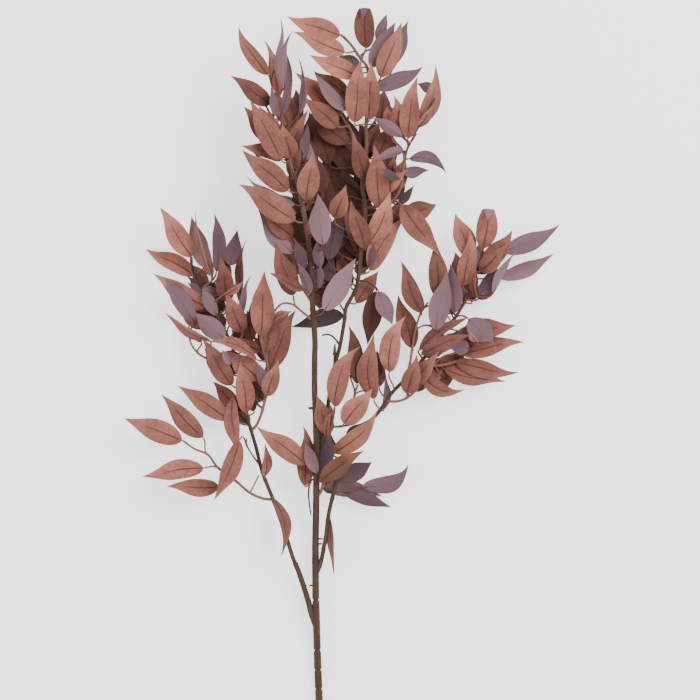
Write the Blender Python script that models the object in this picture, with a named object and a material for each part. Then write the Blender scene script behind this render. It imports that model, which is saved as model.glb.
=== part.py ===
"""A leafy willow spray of the made kind, lying on a surface. Metres, +Z up, stem along +Y."""

import math

import bmesh
import bpy
from mathutils import Matrix, Vector
from mathutils.bvhtree import BVHTree

MM = 0.001
SEAT_GAP = 0.3 * MM

# Stems. The butt lies on the surface and the stem climbs from it.
STEM_SIDES = 8
BRANCH_SIDES = 6
TWIG_SIDES = 4
NOTCHES = (-433.0, -408.0, -382.0, -316.5)
NOTCH_HALF = 1.6
NOTCH_FLOOR_HALF = 0.3
NOTCH_DEPTH = 0.75
NOTCH_PROFILE = (
    (-NOTCH_HALF, 0.0),
    (-NOTCH_FLOOR_HALF, NOTCH_DEPTH),
    (NOTCH_FLOOR_HALF, NOTCH_DEPTH),
    (NOTCH_HALF, 0.0),
)

# The steel wire that stiffens the stem. It ends flush with the butt and blind inside the centre stem.
WIRE_RADIUS = 1.25 * MM
WIRE_SIDES = 6
WIRE_POINTS = 3
BORE_GAP = 0.35 * MM

# Leaves.
FULL_LENGTH = 84.0 * MM
BLADE_THICKNESS = 0.8 * MM
WIDEST_AT = 0.383
BASE_ROUNDNESS = 0.62
SLENDEREST = 0.34
ARCH = 0.07
FOLD = 0.14
RISE_SHARE = 0.6
PETIOLE_RADIUS = 0.95 * MM
PETIOLE_SETBACK = 5.0 * MM
STALK_BEND = 0.4
STALK_STEP = 0.01
LEVEL_STEP = 7.0 * MM
SHIFT_STEP = 2.5 * MM
MOST_SHIFTS = 30
RISE_FACTORS = (1.0, 0.5, 1.5, -0.5)
BLADE_CLEARANCE = 0.7 * MM
STALK_CLEARANCE = 0.3 * MM
SURFACE_LEVEL = -4

# A folded tip bends over towards the leaf's upper face.
FOLDED_BASES = ((186, 142), (34, 402))
FOLD_START = 0.70
FOLD_END = 0.78
FOLD_TURN = math.radians(125)

# Rings of the skin, as shares of the stalk and of the blade.
STALK_SHARES = (0.0, 0.55, 1.0)
SHORT_STALK_SHARES = (0.0, 1.0)
SHORT_STALK = 12.0 * MM
BLADE_SHARES = (0.13, 0.43, 0.76)
FOLDED_SHARES = (0.13, 0.43, FOLD_START, 0.74, FOLD_END)
SMALL_SHARES = (0.16, 0.58)
SMALL_LEAF = 48.0 * MM
WELD = 1e-7

# Faces that meet at less than this are shaded as one round surface, as those of the stems do.
ROUND_UNDER = math.radians(62)

# Colours.
STEM_BROWN = (0.115, 0.072, 0.050, 1.0)
LEAF_ROSE = (0.440, 0.220, 0.170, 1.0)
STEEL = (0.45, 0.45, 0.46, 1.0)

# Each run: node, how it starts, height at its end, radius at both ends, sides, points seen from above.
# A run starts from the floor, from the end of a node, from the side of a node, or on its own node.
# Millimetres.
RUNS = (
    ("lower_stem", "floor", "", 26.2, 4.5, 4.1, STEM_SIDES,
     ((-27, -458), (-27.4, -444), (-28.8, -410), (-30.4, -360), (-31.8, -301), (-32, -266.2))),
    ("lower_stem", "own", "", 26.0, 3.6, 2.9, BRANCH_SIDES,
     ((-32, -352), (-36.5, -337), (-42, -316), (-48, -297), (-54, -279), (-58.7, -268))),
    ("lower_stem", "own", "", 29.5, 2.6, 2.3, BRANCH_SIDES,
     ((-31.5, -284), (-26.6, -272), (-22.6, -256), (-21.4, -249))),
    ("lower_stem", "own", "", 22.8, 1.0, 0.7, TWIG_SIDES, ((-33, -297), (-40, -297.5))),
    ("lower_stem", "own", "", 23.5, 1.0, 0.7, TWIG_SIDES, ((-48, -297), (-43.6, -297.2))),
    ("centre_stem", "end", "lower_stem", 70.5, 4.1, 2.9, STEM_SIDES,
     ((-32, -241), (-31, -185), (-31, -107), (-33, -40), (-33, 0), (-32.5, 21), (-36, 72), (-37.5, 100),
      (-38, 120.2))),
    ("centre_stem", "own", "", 31.0, 1.0, 0.8, TWIG_SIDES, ((-32, -236), (-22.9, -236.4))),
    ("centre_stem", "own", "", 30.0, 1.0, 0.8, TWIG_SIDES, ((-32, -243), (-24.2, -242.8))),
    ("centre_stem", "own", "", 49.6, 1.7, 1.3, TWIG_SIDES, ((-32, -66), (-39.8, -66))),
    ("centre_stem", "own", "", 30.0, 1.0, 0.7, TWIG_SIDES,
     ((-31, -158), (-37.5, -160), (-41, -175), (-40, -190), (-38, -205))),
    ("centre_tip", "end", "centre_stem", 86.0, 2.9, 1.8, BRANCH_SIDES,
     ((-40, 140), (-42, 160), (-44, 172), (-47, 190), (-50, 205), (-53, 220), (-60, 238))),
    ("left_branch", "end", "lower_stem.1", 38.0, 2.3, 1.3, BRANCH_SIDES,
     ((-70, -234), (-80, -205), (-88, -183), (-101, -150), (-110, -115), (-120, -80), (-125, -52),
      (-130, -25), (-143, 21), (-160, 50), (-176, 80), (-186, 100), (-192, 113), (-194, 131))),
    ("left_branch", "own", "", 30.0, 1.0, 0.8, TWIG_SIDES, ((-103, -143), (-121, -116), (-122, -106))),
    ("right_branch", "end", "lower_stem.2", 40.0, 2.3, 1.3, BRANCH_SIDES,
     ((-18.5, -234), (-15, -205), (-8, -175), (0, -145), (8, -108), (14, -93), (28, -88), (42, -80),
      (54, -66), (66, -48), (85, -28), (110, 0), (125, 20), (150, 52), (166, 80), (178, 112), (183, 125),
      (186, 142))),
    ("rear_stem", "side", "centre_stem", 52.0, 2.3, 1.7, BRANCH_SIDES,
     ((-31, -158), (-27, -140), (-24, -112), (-18, -80), (-11, -29), (-5, -3), (0, 15), (5.7, 48), (8, 65),
      (21, 90), (24.5, 110), (27, 135), (30, 160), (33, 190), (29, 222), (29, 245), (34, 270), (34, 299))),
    ("rear_stem", "own", "", 46.0, 1.1, 0.8, TWIG_SIDES, ((0, 15), (-7, 25), (-15, 30), (-23, 29))),
    ("rear_stem", "own", "", 48.0, 1.0, 0.8, TWIG_SIDES, ((-7.5, -14), (-7.5, 0), (-7, 6))),
    ("rear_stem", "own", "", 48.5, 1.6, 1.2, TWIG_SIDES, ((-7.2, 3), (-7, 9), (-6.8, 13))),
    ("rear_stem", "own", "", 44.0, 1.2, 0.9, TWIG_SIDES, ((23, 100), (36, 99), (47, 91))),
    ("top_sprig", "end", "rear_stem", 58.0, 1.7, 1.2, BRANCH_SIDES,
     ((36, 330), (38, 352), (35, 378), (27, 388), (14, 407), (2, 419))),
    ("top_sprig", "own", "", 62.0, 1.1, 0.8, TWIG_SIDES, ((28, 387), (33, 400))),
    ("top_sprig", "own", "", 52.0, 1.1, 0.8, TWIG_SIDES, ((38, 348), (47, 352), (52, 362))),
    ("left_inner_sprig", "side", "left_branch", 46.0, 1.6, 1.1, TWIG_SIDES,
     ((-116, -96), (-107, -85), (-98, -57), (-94, -30), (-95, -8), (-97, 5))),
    ("left_side_sprig", "side", "left_branch", 36.0, 1.3, 0.9, TWIG_SIDES,
     ((-136, -4), (-152, -7), (-180, 2), (-194, 18), (-197, 40))),
    ("lower_left_sprig", "side", "left_branch", 26.0, 1.6, 1.0, TWIG_SIDES,
     ((-87, -185), (-100, -184), (-118, -176), (-137, -160), (-160, -143), (-172, -127), (-190, -119),
      (-204, -109))),
    ("lower_left_sprig", "own", "", 28.0, 0.9, 0.7, TWIG_SIDES, ((-117, -176), (-106, -154))),
    ("arc_sprig", "side", "centre_stem", 60.0, 1.3, 0.9, TWIG_SIDES,
     ((-34, 47), (-50, 60), (-62, 69), (-75, 70), (-86, 60))),
    ("side_sprig", "side", "centre_stem", 74.0, 1.4, 0.9, TWIG_SIDES,
     ((-36, 70), (-46, 86), (-57, 104), (-59, 125), (-60, 138))),
    ("lower_centre_sprig", "side", "centre_stem", 60.0, 1.6, 1.0, TWIG_SIDES,
     ((-31, -184), (-24, -172), (-20, -150), (-20, -125), (-13, -100), (-9, -80), (-7, -66))),
    ("lower_centre_sprig", "own", "", 56.0, 1.2, 0.9, TWIG_SIDES,
     ((-11, -90), (5, -89), (18, -84), (17, -66), (19, -48), (23, -36))),
    ("right_side_sprig", "side", "right_branch", 54.0, 1.4, 0.9, TWIG_SIDES,
     ((84, -29), (90, -12), (94, 12), (97, 30), (101, 47), (106, 60), (114, 71))),
    ("right_side_sprig", "own", "", 56.0, 1.0, 0.8, TWIG_SIDES, ((98, 36), (110, 42), (121, 40))),
    ("right_low_sprig", "side", "right_branch", 48.0, 1.4, 0.9, TWIG_SIDES,
     ((60, -57), (75, -57), (88, -52), (100, -41), (106, -28))),
    ("right_outer_sprig", "side", "right_branch", 34.0, 1.4, 0.9, TWIG_SIDES,
     ((104, -6), (118, -10), (133, -10), (150, -6))),
    ("right_outer_sprig", "own", "", 38.0, 1.1, 0.8, TWIG_SIDES,
     ((120, -10), (136, 2), (152, 7), (164, 20))),
    ("upper_left_sprig", "end", "centre_tip", 92.0, 1.7, 1.0, BRANCH_SIDES,
     ((-64, 252), (-70, 275), (-80, 300), (-90, 315), (-98, 330))),
    ("upper_left_sprig", "own", "", 96.0, 1.1, 0.8, TWIG_SIDES,
     ((-86, 309), (-88, 330), (-87, 345), (-91, 362))),
    ("upper_middle_sprig", "side", "rear_stem", 60.0, 1.4, 0.9, TWIG_SIDES,
     ((29, 240), (23, 258), (21, 280), (14, 296), (4, 311))),
    ("upper_right_sprig", "side", "rear_stem", 66.0, 1.5, 1.0, TWIG_SIDES,
     ((32, 194), (52, 197), (68, 203), (78, 220), (82, 245), (84, 268))),
    ("upper_right_sprig", "own", "", 70.0, 1.1, 0.8, TWIG_SIDES, ((83, 262), (90, 276), (99, 290))),
)

# Each leaf: node, face seen from above, width seen, blade base, tip, sideways bow, level. Millimetres.
# A leaf of a higher level lies nearer the eye. One of the surface level touches down with its tip.
LEAVES = (
    ("left_branch", "rose", 26, -146, -81, -212, -37, 0, 1),
    ("left_branch", "rose", 24, -131, -108, -164, -186, 0, 2),
    ("left_branch", "rose", 20, -140, -52, -133, -128, 0, 0),
    ("left_branch", "rose", 22, -130, -70, -166, -31, 0, -1),
    ("left_branch", "rose", 24, -122, -72, -129, -2, 0, 0),
    ("left_branch", "rose", 28, -193, 131, -235, 196, 0, 1),
    ("left_branch", "rose", 24, -190, 107, -254, 142, 0, SURFACE_LEVEL),
    ("left_branch", "rose", 26, -174, 66, -243, 109, 0, 1),
    ("left_branch", "mauve", 24, -178, 118, -193, 184, 0, 0),
    ("left_branch", "rose", 9, -167, 106, -188, 191, 0, 1),
    ("left_branch", "mauve", 19, -161, 112, -164, 188, 0, 0),
    ("left_branch", "mauve", 22, -143, 120, -134, 168, 0, -1),
    ("left_branch", "rose", 24, -146, 72, -156, 131, 0, 1),
    ("left_branch", "rose", 11, -128, 68, -122, 153, 0, 0),
    ("left_branch", "mauve", 12, -151, 80, -126, 98, 0, 2),
    ("left_branch", "mauve", 8, -127, 52, -115, 107, 0, 1),
    ("left_branch", "mauve", 14, -178, 88, -153, 82, 0, 2),
    ("left_branch", "mauve", 16, -160, 55, -178, 92, 0, 1),
    ("left_branch", "mauve", 12, -178, 84, -200, 98, 0, 2),
    ("left_branch", "rose", 14, -172, 96, -192, 117, 0, -1),
    ("left_branch", "mauve", 26, -150, 24, -188, 58, 0, 1),
    ("left_branch", "rose", 14, -88, -183, -77, -260, 6, -1),
    ("left_branch", "rose", 13, -98, -155, -97, -112, 0, 0),
    ("left_branch", "rose", 26, -127, 33, -150, 85, 0, 0),
    ("left_branch", "mauve", 14, -128, -2, -156, 7, 0, 1),
    ("left_branch", "rose", 26, -141, -36, -180, 25, 0, 1),
    ("left_branch", "rose", 20, -133, -20, -172, 14, 0, 0),
    ("left_branch", "rose", 18, -116, 22, -122, 62, 0, -2),
    ("left_side_sprig", "mauve", 24, -190, 47, -227, 104, 0, 2),
    ("left_side_sprig", "rose", 12, -170, 22, -227, 58, 0, 0),
    ("left_side_sprig", "rose", 10, -181, 20, -196, 38, 0, -1),
    ("left_inner_sprig", "rose", 31, -102, 28, -98, 113, 0, 2),
    ("left_inner_sprig", "rose", 15, -108, -3, -174, 20, -6, 2),
    ("left_inner_sprig", "rose", 30, -106, -28, -146, 10, 0, 1),
    ("left_inner_sprig", "rose", 24, -96, 8, -86, 62, 0, -1),
    ("left_inner_sprig", "rose", 28, -91, -16, -57, 62, 0, 0),
    ("left_inner_sprig", "rose", 22, -95, -50, -80, -2, 0, 1),
    ("left_inner_sprig", "mauve", 16, -97, -42, -104, -8, 0, 0),
    ("left_inner_sprig", "mauve", 16, -108, -60, -112, -20, 0, -1),
    ("left_inner_sprig", "rose", 18, -104, 8, -138, 24, 0, -1),
    ("left_inner_sprig", "rose", 14, -100, -4, -113, 28, 0, -2),
    ("left_inner_sprig", "rose", 18, -107, -59, -97, -18, 0, -1),
    ("lower_left_sprig", "rose", 30, -206, -108, -282, -79, 0, 1),
    ("lower_left_sprig", "rose", 26, -179, -104, -233, -48, 0, 0),
    ("lower_left_sprig", "rose", 26, -178, -144, -258, -155, 0, 1),
    ("lower_left_sprig", "rose", 24, -158, -169, -226, -168, 0, 0),
    ("arc_sprig", "rose", 28, -61, 81, -83, 150, 0, 0),
    ("arc_sprig", "rose", 10, -88, 48, -62, 60, 0, 0),
    ("side_sprig", "rose", 12, -50, 88, -91, 110, 0, -1),
    ("side_sprig", "mauve", 22, -62, 135, -106, 192, 0, 1),
    ("side_sprig", "rose", 24, -62, 157, -100, 187, 0, 0),
    ("side_sprig", "mauve", 20, -46, 121, -68, 165, 0, -1),
    ("side_sprig", "mauve", 14, -40, 82, -55, 122, 0, 1),
    ("centre_stem", "mauve", 28, -20, 61, 21, 129, 0, 3),
    ("centre_stem", "mauve", 9, -29, 90, -28, 122, 0, 1),
    ("centre_stem", "rose", 28, -45, -138, -109, -89, 0, 2),
    ("centre_stem", "rose", 24, -46, -167, -48, -89, 0, 0),
    ("centre_tip", "rose", 30, -67, 216, -127, 269, 0, 2),
    ("centre_tip", "rose", 32, -58, 177, -131, 224, 0, 3),
    ("centre_tip", "mauve", 12, -58, 198, -121, 235, 0, 2),
    ("centre_tip", "rose", 29, -44, 204, -34, 267, 0, 2),
    ("centre_tip", "rose", 14, -36, 159, -38, 184, 0, 1),
    ("centre_stem", "mauve", 15, -26, 117, -30, 150, 0, 1),
    ("centre_tip", "mauve", 22, -24, 146, -29, 213, 0, 1),
    ("upper_left_sprig", "rose", 24, -63, 258, -74, 303, 0, 0),
    ("centre_tip", "rose", 22, -56, 243, -41, 322, 6, 1),
    ("centre_tip", "mauve", 14, -44, 256, -42, 288, 0, -1),
    ("centre_tip", "mauve", 12, -66, 232, -113, 266, 0, 1),
    ("centre_tip", "rose", 20, -75, 258, -128, 274, 0, 0),
    ("upper_left_sprig", "rose", 24, -90, 328, -142, 364, 0, 0),
    ("upper_left_sprig", "rose", 30, -76, 256, -116, 333, 0, 3),
    ("upper_left_sprig", "rose", 26, -88, 280, -125, 325, 0, 0),
    ("upper_left_sprig", "rose", 20, -78, 278, -106, 326, 0, 1),
    ("upper_left_sprig", "rose", 20, -62, 295, -66, 345, 0, -2),
    ("upper_left_sprig", "mauve", 12, -76, 314, -70, 395, 0, 1),
    ("upper_left_sprig", "mauve", 9, -72, 350, -61, 421, 0, 1),
    ("upper_left_sprig", "mauve", 8, -86, 372, -77, 439, 0, 0),
    ("upper_left_sprig", "rose", 20, -93, 366, -131, 428, 0, 0),
    ("upper_left_sprig", "rose", 16, -80, 336, -98, 412, 0, 1),
    ("upper_left_sprig", "mauve", 10, -79, 311, -86, 350, 0, 0),
    ("upper_left_sprig", "mauve", 8, -53, 315, -53, 387, 0, 0),
    ("upper_left_sprig", "mauve", 9, -50, 322, -41, 347, 0, -1),
    ("upper_middle_sprig", "rose", 28, 2, 314, -59, 371, 0, 1),
    ("upper_middle_sprig", "mauve", 18, 10, 321, -33, 368, 0, 2),
    ("upper_middle_sprig", "rose", 26, -3, 300, -48, 338, 0, 0),
    ("upper_middle_sprig", "rose", 30, 10, 279, -42, 318, 0, -1),
    ("rear_stem", "rose", 24, 21, 241, -22, 284, 0, -2),
    ("rear_stem", "rose", 20, 29, 214, -25, 262, 0, -3),
    ("rear_stem", "mauve", 24, 4, 56, -64, 40, 0, -1),
    ("rear_stem", "rose", 30, 52, 194, 44, 276, 0, 2),
    ("rear_stem", "rose", 28, 38, 150, 66, 216, -5, 2),
    ("rear_stem", "rose", 28, 39, 113, 84, 182, 5, 0),
    ("rear_stem", "rose", 20, 23, 137, 5, 205, 0, -1),
    ("rear_stem", "rose", 18, 20, 136, 0, 178, 0, -2),
    ("rear_stem", "rose", 22, 21, 71, 50, 113, 0, -1),
    ("rear_stem", "mauve", 16, 25, 108, 30, 132, 0, -1),
    ("rear_stem", "rose", 18, 0, 108, 12, 150, 0, -2),
    ("rear_stem", "mauve", 10, -19, 98, -3, 130, 0, -2),
    ("rear_stem", "mauve", 10, 38, 120, 42, 150, 0, 1),
    ("rear_stem", "mauve", 10, 30, 140, 66, 158, 0, -1),
    ("rear_stem", "mauve", 24, -15, 127, -2, 195, 0, 0),
    ("rear_stem", "mauve", 16, -2, 168, 6, 202, 0, -1),
    ("rear_stem", "rose", 24, -7, 181, 8, 224, 0, 3),
    ("rear_stem", "rose", 26, 47, 86, 36, 16, 0, -1),
    ("rear_stem", "mauve", 22, 50, 86, 68, 42, 0, 1),
    ("rear_stem", "rose", 20, 37, 268, 50, 306, 0, -1),
    ("top_sprig", "rose", 31, 19, 305, 28, 387, 0, 3),
    ("top_sprig", "rose", 28, 38, 309, 40, 384, 0, 1),
    ("top_sprig", "rose", 27, 0, 418, -69, 443, 0, 1),
    ("top_sprig", "rose", 26, 6, 396, -61, 422, 0, 2),
    ("top_sprig", "rose", 26, 22, 366, -40, 393, 0, 1),
    ("top_sprig", "rose", 27, 34, 402, 32, 456, 0, 0),
    ("top_sprig", "mauve", 26, 40, 377, 72, 435, 0, 1),
    ("top_sprig", "mauve", 14, 50, 410, 61, 445, 0, 0),
    ("top_sprig", "rose", 28, 53, 364, 80, 436, 0, 2),
    ("top_sprig", "mauve", 20, 70, 380, 89, 437, 0, 0),
    ("top_sprig", "mauve", 22, 46, 350, 108, 378, 0, 1),
    ("top_sprig", "mauve", 14, 24, 376, 2, 394, 0, -1),
    ("upper_right_sprig", "rose", 24, 84, 286, 70, 339, 0, 0),
    ("upper_right_sprig", "rose", 16, 66, 290, 62, 328, 0, -1),
    ("upper_right_sprig", "mauve", 16, 80, 286, 42, 310, 0, 2),
    ("upper_right_sprig", "rose", 26, 88, 284, 101, 364, 0, 1),
    ("upper_right_sprig", "rose", 22, 99, 300, 124, 380, -6, 0),
    ("upper_right_sprig", "rose", 9, 101, 299, 121, 327, 0, -1),
    ("upper_right_sprig", "mauve", 12, 83, 268, 43, 255, 0, 1),
    ("upper_right_sprig", "mauve", 16, 90, 258, 138, 239, 8, 0),
    ("upper_right_sprig", "mauve", 16, 84, 240, 117, 244, 0, -1),
    ("upper_right_sprig", "rose", 22, 50, 214, 86, 244, 0, 1),
    ("upper_right_sprig", "rose", 26, 47, 258, 66, 300, 0, -1),
    ("upper_right_sprig", "rose", 12, 68, 240, 70, 262, 0, 0),
    ("upper_right_sprig", "rose", 30, 80, 198, 129, 132, 0, 1),
    ("upper_right_sprig", "rose", 26, 82, 184, 126, 200, 0, -1),
    ("upper_right_sprig", "mauve", 10, 74, 200, 96, 224, 0, 0),
    ("lower_centre_sprig", "mauve", 16, -29, -150, -45, -110, 0, 1),
    ("lower_centre_sprig", "mauve", 18, -26, -150, -13, -98, 0, 0),
    ("lower_centre_sprig", "rose", 24, -26, -160, 32, -121, 0, 1),
    ("lower_centre_sprig", "rose", 24, -14, -100, -31, -48, 0, -1),
    ("lower_centre_sprig", "rose", 10, -18, -105, -9, -70, 0, 1),
    ("lower_centre_sprig", "rose", 30, 5, -86, 42, -40, 0, 2),
    ("lower_centre_sprig", "rose", 28, -7, -64, 26, 14, 8, 1),
    ("lower_centre_sprig", "rose", 22, 22, -34, 11, 42, 0, -1),
    ("lower_centre_sprig", "mauve", 22, -22, -170, 56, -182, 0, -1),
    ("right_branch", "rose", 26, -9, -124, 48, -70, -5, 2),
    ("right_branch", "mauve", 24, 0, -160, 42, -136, 0, 0),
    ("right_branch", "mauve", 24, 30, -169, 89, -138, -8, 0),
    ("right_branch", "mauve", 20, 5, -176, 67, -195, 0, -1),
    ("right_branch", "rose", 9, -13, -209, -8, -284, 5, 0),
    ("right_branch", "rose", 28, 44, -54, 44, 31, 7, 1),
    ("right_branch", "rose", 28, 64, -19, 86, 54, 9, 2),
    ("right_branch", "rose", 14, 51, -38, 55, -5, 0, -1),
    ("right_branch", "mauve", 10, 57, -68, 60, -22, 0, 0),
    ("right_branch", "rose", 15, 103, 10, 168, 53, 0, 1),
    ("right_branch", "rose", 20, 106, 4, 172, 29, 6, 2),
    ("right_branch", "rose", 16, 146, 55, 146, 90, 0, -1),
    ("right_branch", "mauve", 20, 149, 58, 143, 122, 0, 0),
    ("right_branch", "mauve", 30, 167, 50, 198, 20, 0, 2),
    ("right_branch", "rose", 28, 160, 34, 229, 42, 0, 1),
    ("right_branch", "rose", 28, 170, 130, 150, 188, 0, 2),
    ("right_branch", "rose", 24, 160, 93, 168, 166, 0, 0),
    ("right_branch", "rose", 28, 186, 142, 194, 196, 0, 1),
    ("right_branch", "rose", 26, 190, 118, 224, 166, 0, 0),
    ("right_branch", "rose", 24, 183, 112, 217, 146, 0, 1),
    ("right_branch", "mauve", 24, 212, 138, 286, 173, 0, 0),
    ("right_branch", "mauve", 10, 200, 84, 230, 138, 0, 0),
    ("right_branch", "mauve", 20, 207, 104, 280, 136, 0, SURFACE_LEVEL),
    ("right_branch", "rose", 22, 180, 76, 204, 104, 0, -1),
    ("right_branch", "mauve", 20, 182, 82, 212, 118, 0, -2),
    ("right_branch", "rose", 10, 177, 77, 176, 128, 0, 0),
    ("right_branch", "mauve", 14, 178, 118, 172, 152, 0, -1),
    ("right_side_sprig", "rose", 24, 106, 58, 79, 126, 0, 1),
    ("right_side_sprig", "rose", 26, 95, 12, 76, 82, 0, 0),
    ("right_side_sprig", "mauve", 28, 124, 36, 138, 112, 0, 2),
    ("right_side_sprig", "rose", 26, 128, 78, 124, 153, 0, 0),
    ("right_low_sprig", "rose", 24, 87, -47, 100, 4, 0, 1),
    ("right_low_sprig", "rose", 24, 88, -40, 128, 8, 0, 0),
    ("right_low_sprig", "rose", 22, 100, -38, 140, -8, 0, -1),
    ("right_low_sprig", "rose", 20, 105, -20, 163, -41, -10, 1),
    ("right_outer_sprig", "rose", 24, 160, 4, 240, 20, 0, 1),
    ("right_outer_sprig", "rose", 22, 151, -5, 233, -19, 0, 0),
    ("right_outer_sprig", "rose", 22, 135, -14, 216, -32, -8, -1),
    ("right_outer_sprig", "rose", 16, 130, -9, 165, 5, 0, -1),
    ("right_outer_sprig", "mauve", 20, 168, 12, 140, 16, 0, 2),
    ("right_outer_sprig", "mauve", 20, 172, 30, 147, 32, 0, 1),
)


class Run:
    """A round stem or twig: points along its axis, with a radius at each."""

    def __init__(self, node, points, radii, sides, first_way):
        self.node = node
        self.points = points
        self.radii = radii
        self.sides = sides
        self.first_way = first_way

    def way(self, index):
        """Direction of the axis at a point, halfway between the stretches that meet there."""
        before = self.points[max(index - 1, 0)]
        after = self.points[min(index + 1, len(self.points) - 1)]
        return self.first_way if index == 0 else (after - before).normalized()

    def nearest(self, place):
        """Distance seen from above to the axis, the point on it and the direction there."""
        best = None
        for index in range(len(self.points) - 1):
            start = self.points[index]
            stretch = self.points[index + 1] - start
            share = (place - start).xy.dot(stretch.xy) / stretch.xy.length_squared
            point = start + stretch * min(max(share, 0.0), 1.0)
            gap = (point - place).xy.length
            if best is None or gap < best[0]:
                best = (gap, point, stretch.normalized())
        return best


def lengths_along(points):
    """Distance seen from above from the first point to each."""
    far = [0.0]
    for before, after in zip(points, points[1:]):
        far.append(far[-1] + (after - before).xy.length)
    return far


def laid_runs():
    """Every stem and twig with its heights, each starting on what carries it."""
    runs = []
    for node, kind, carrier, end_height, first, last, sides, places in RUNS:
        points = [Vector((x, y, 0.0)) * MM for x, y in places]
        first_way = None
        if kind == "floor":
            height = first * MM * math.cos(math.pi / sides)
        elif kind == "end":
            name, _, number = carrier.partition(".")
            parent = [run for run in runs if run.node == name][int(number or 0)]
            first_way = parent.way(len(parent.points) - 1)
            points.insert(0, parent.points[-1] + first_way * SEAT_GAP)
            height = points[0].z
        else:
            owners = [run for run in runs if run.node == (carrier or node)]
            touch = min((run.nearest(points[0]) for run in owners), key=lambda found: found[0])
            points[0] = touch[1].copy()
            height = touch[1].z
        far = lengths_along(points)
        radii = []
        for point, distance in zip(points, far):
            share = distance / far[-1]
            point.z = height + (end_height * MM - height) * share
            radii.append((first + (last - first) * share) * MM)
        if kind == "floor":
            points[1].z = height
            radii[1] = radii[0]
        way = first_way or (points[1] - points[0]).normalized()
        runs.append(Run(node, points, radii, sides, way))
    return runs


def facing_out(mesh):
    """Turns every face of a closed mesh outwards."""
    bmesh.ops.recalc_face_normals(mesh, faces=mesh.faces)
    if mesh.calc_volume(signed=True) < 0:
        bmesh.ops.reverse_faces(mesh, faces=mesh.faces)
    return mesh


def ring_matrix(centre, way, radius):
    """Puts a flat unit circle across the axis at a point, with one corner pair level below."""
    side = way.cross(Vector((0, 0, 1))).normalized()
    rise = side.cross(way)
    turned = Matrix((side, rise, way)).transposed().to_4x4()
    return Matrix.Translation(centre) @ turned @ Matrix.Diagonal((radius, radius, radius, 1.0))


def tube_mesh(points, radii, sides, first_way):
    """A closed tube, drawn out ring by ring."""
    mesh = bmesh.new()
    half_step = Matrix.Rotation(math.pi / sides, 4, "Z")
    here = ring_matrix(points[0], first_way, radii[0])
    ring = bmesh.ops.create_circle(
        mesh, cap_ends=True, segments=sides, radius=1.0, matrix=here @ half_step)["verts"]
    edges = list({edge for vert in ring for edge in vert.link_edges})
    for index in range(1, len(points)):
        before = points[index - 1]
        after = points[min(index + 1, len(points) - 1)]
        there = ring_matrix(points[index], (after - before).normalized(), radii[index])
        drawn = bmesh.ops.extrude_edge_only(mesh, edges=edges)["geom"]
        edges = [part for part in drawn if isinstance(part, bmesh.types.BMEdge)]
        ring = [part for part in drawn if isinstance(part, bmesh.types.BMVert)]
        bmesh.ops.transform(mesh, matrix=there @ here.inverted(), verts=ring)
        here = there
    bmesh.ops.holes_fill(mesh, edges=edges, sides=0)
    return facing_out(mesh)


def run_mesh(run, wider=0.0):
    """The tube of one run, or a wider one round it."""
    return tube_mesh(run.points, [radius + wider for radius in run.radii], run.sides, run.first_way)


def notched(run):
    """The lower stem with the rings cut round it where it is meant to snap."""
    points = []
    radii = []
    for index in range(len(run.points) - 1):
        start, end = run.points[index], run.points[index + 1]
        points.append(start)
        radii.append(run.radii[index])
        for notch in NOTCHES:
            if not start.y < notch * MM < end.y:
                continue
            for offset, depth in NOTCH_PROFILE:
                share = ((notch + offset) * MM - start.y) / (end.y - start.y)
                points.append(start.lerp(end, share))
                radius = run.radii[index] + (run.radii[index + 1] - run.radii[index]) * share
                radii.append(radius - depth * MM)
    points.append(run.points[-1])
    radii.append(run.radii[-1])
    return points, radii


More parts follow.
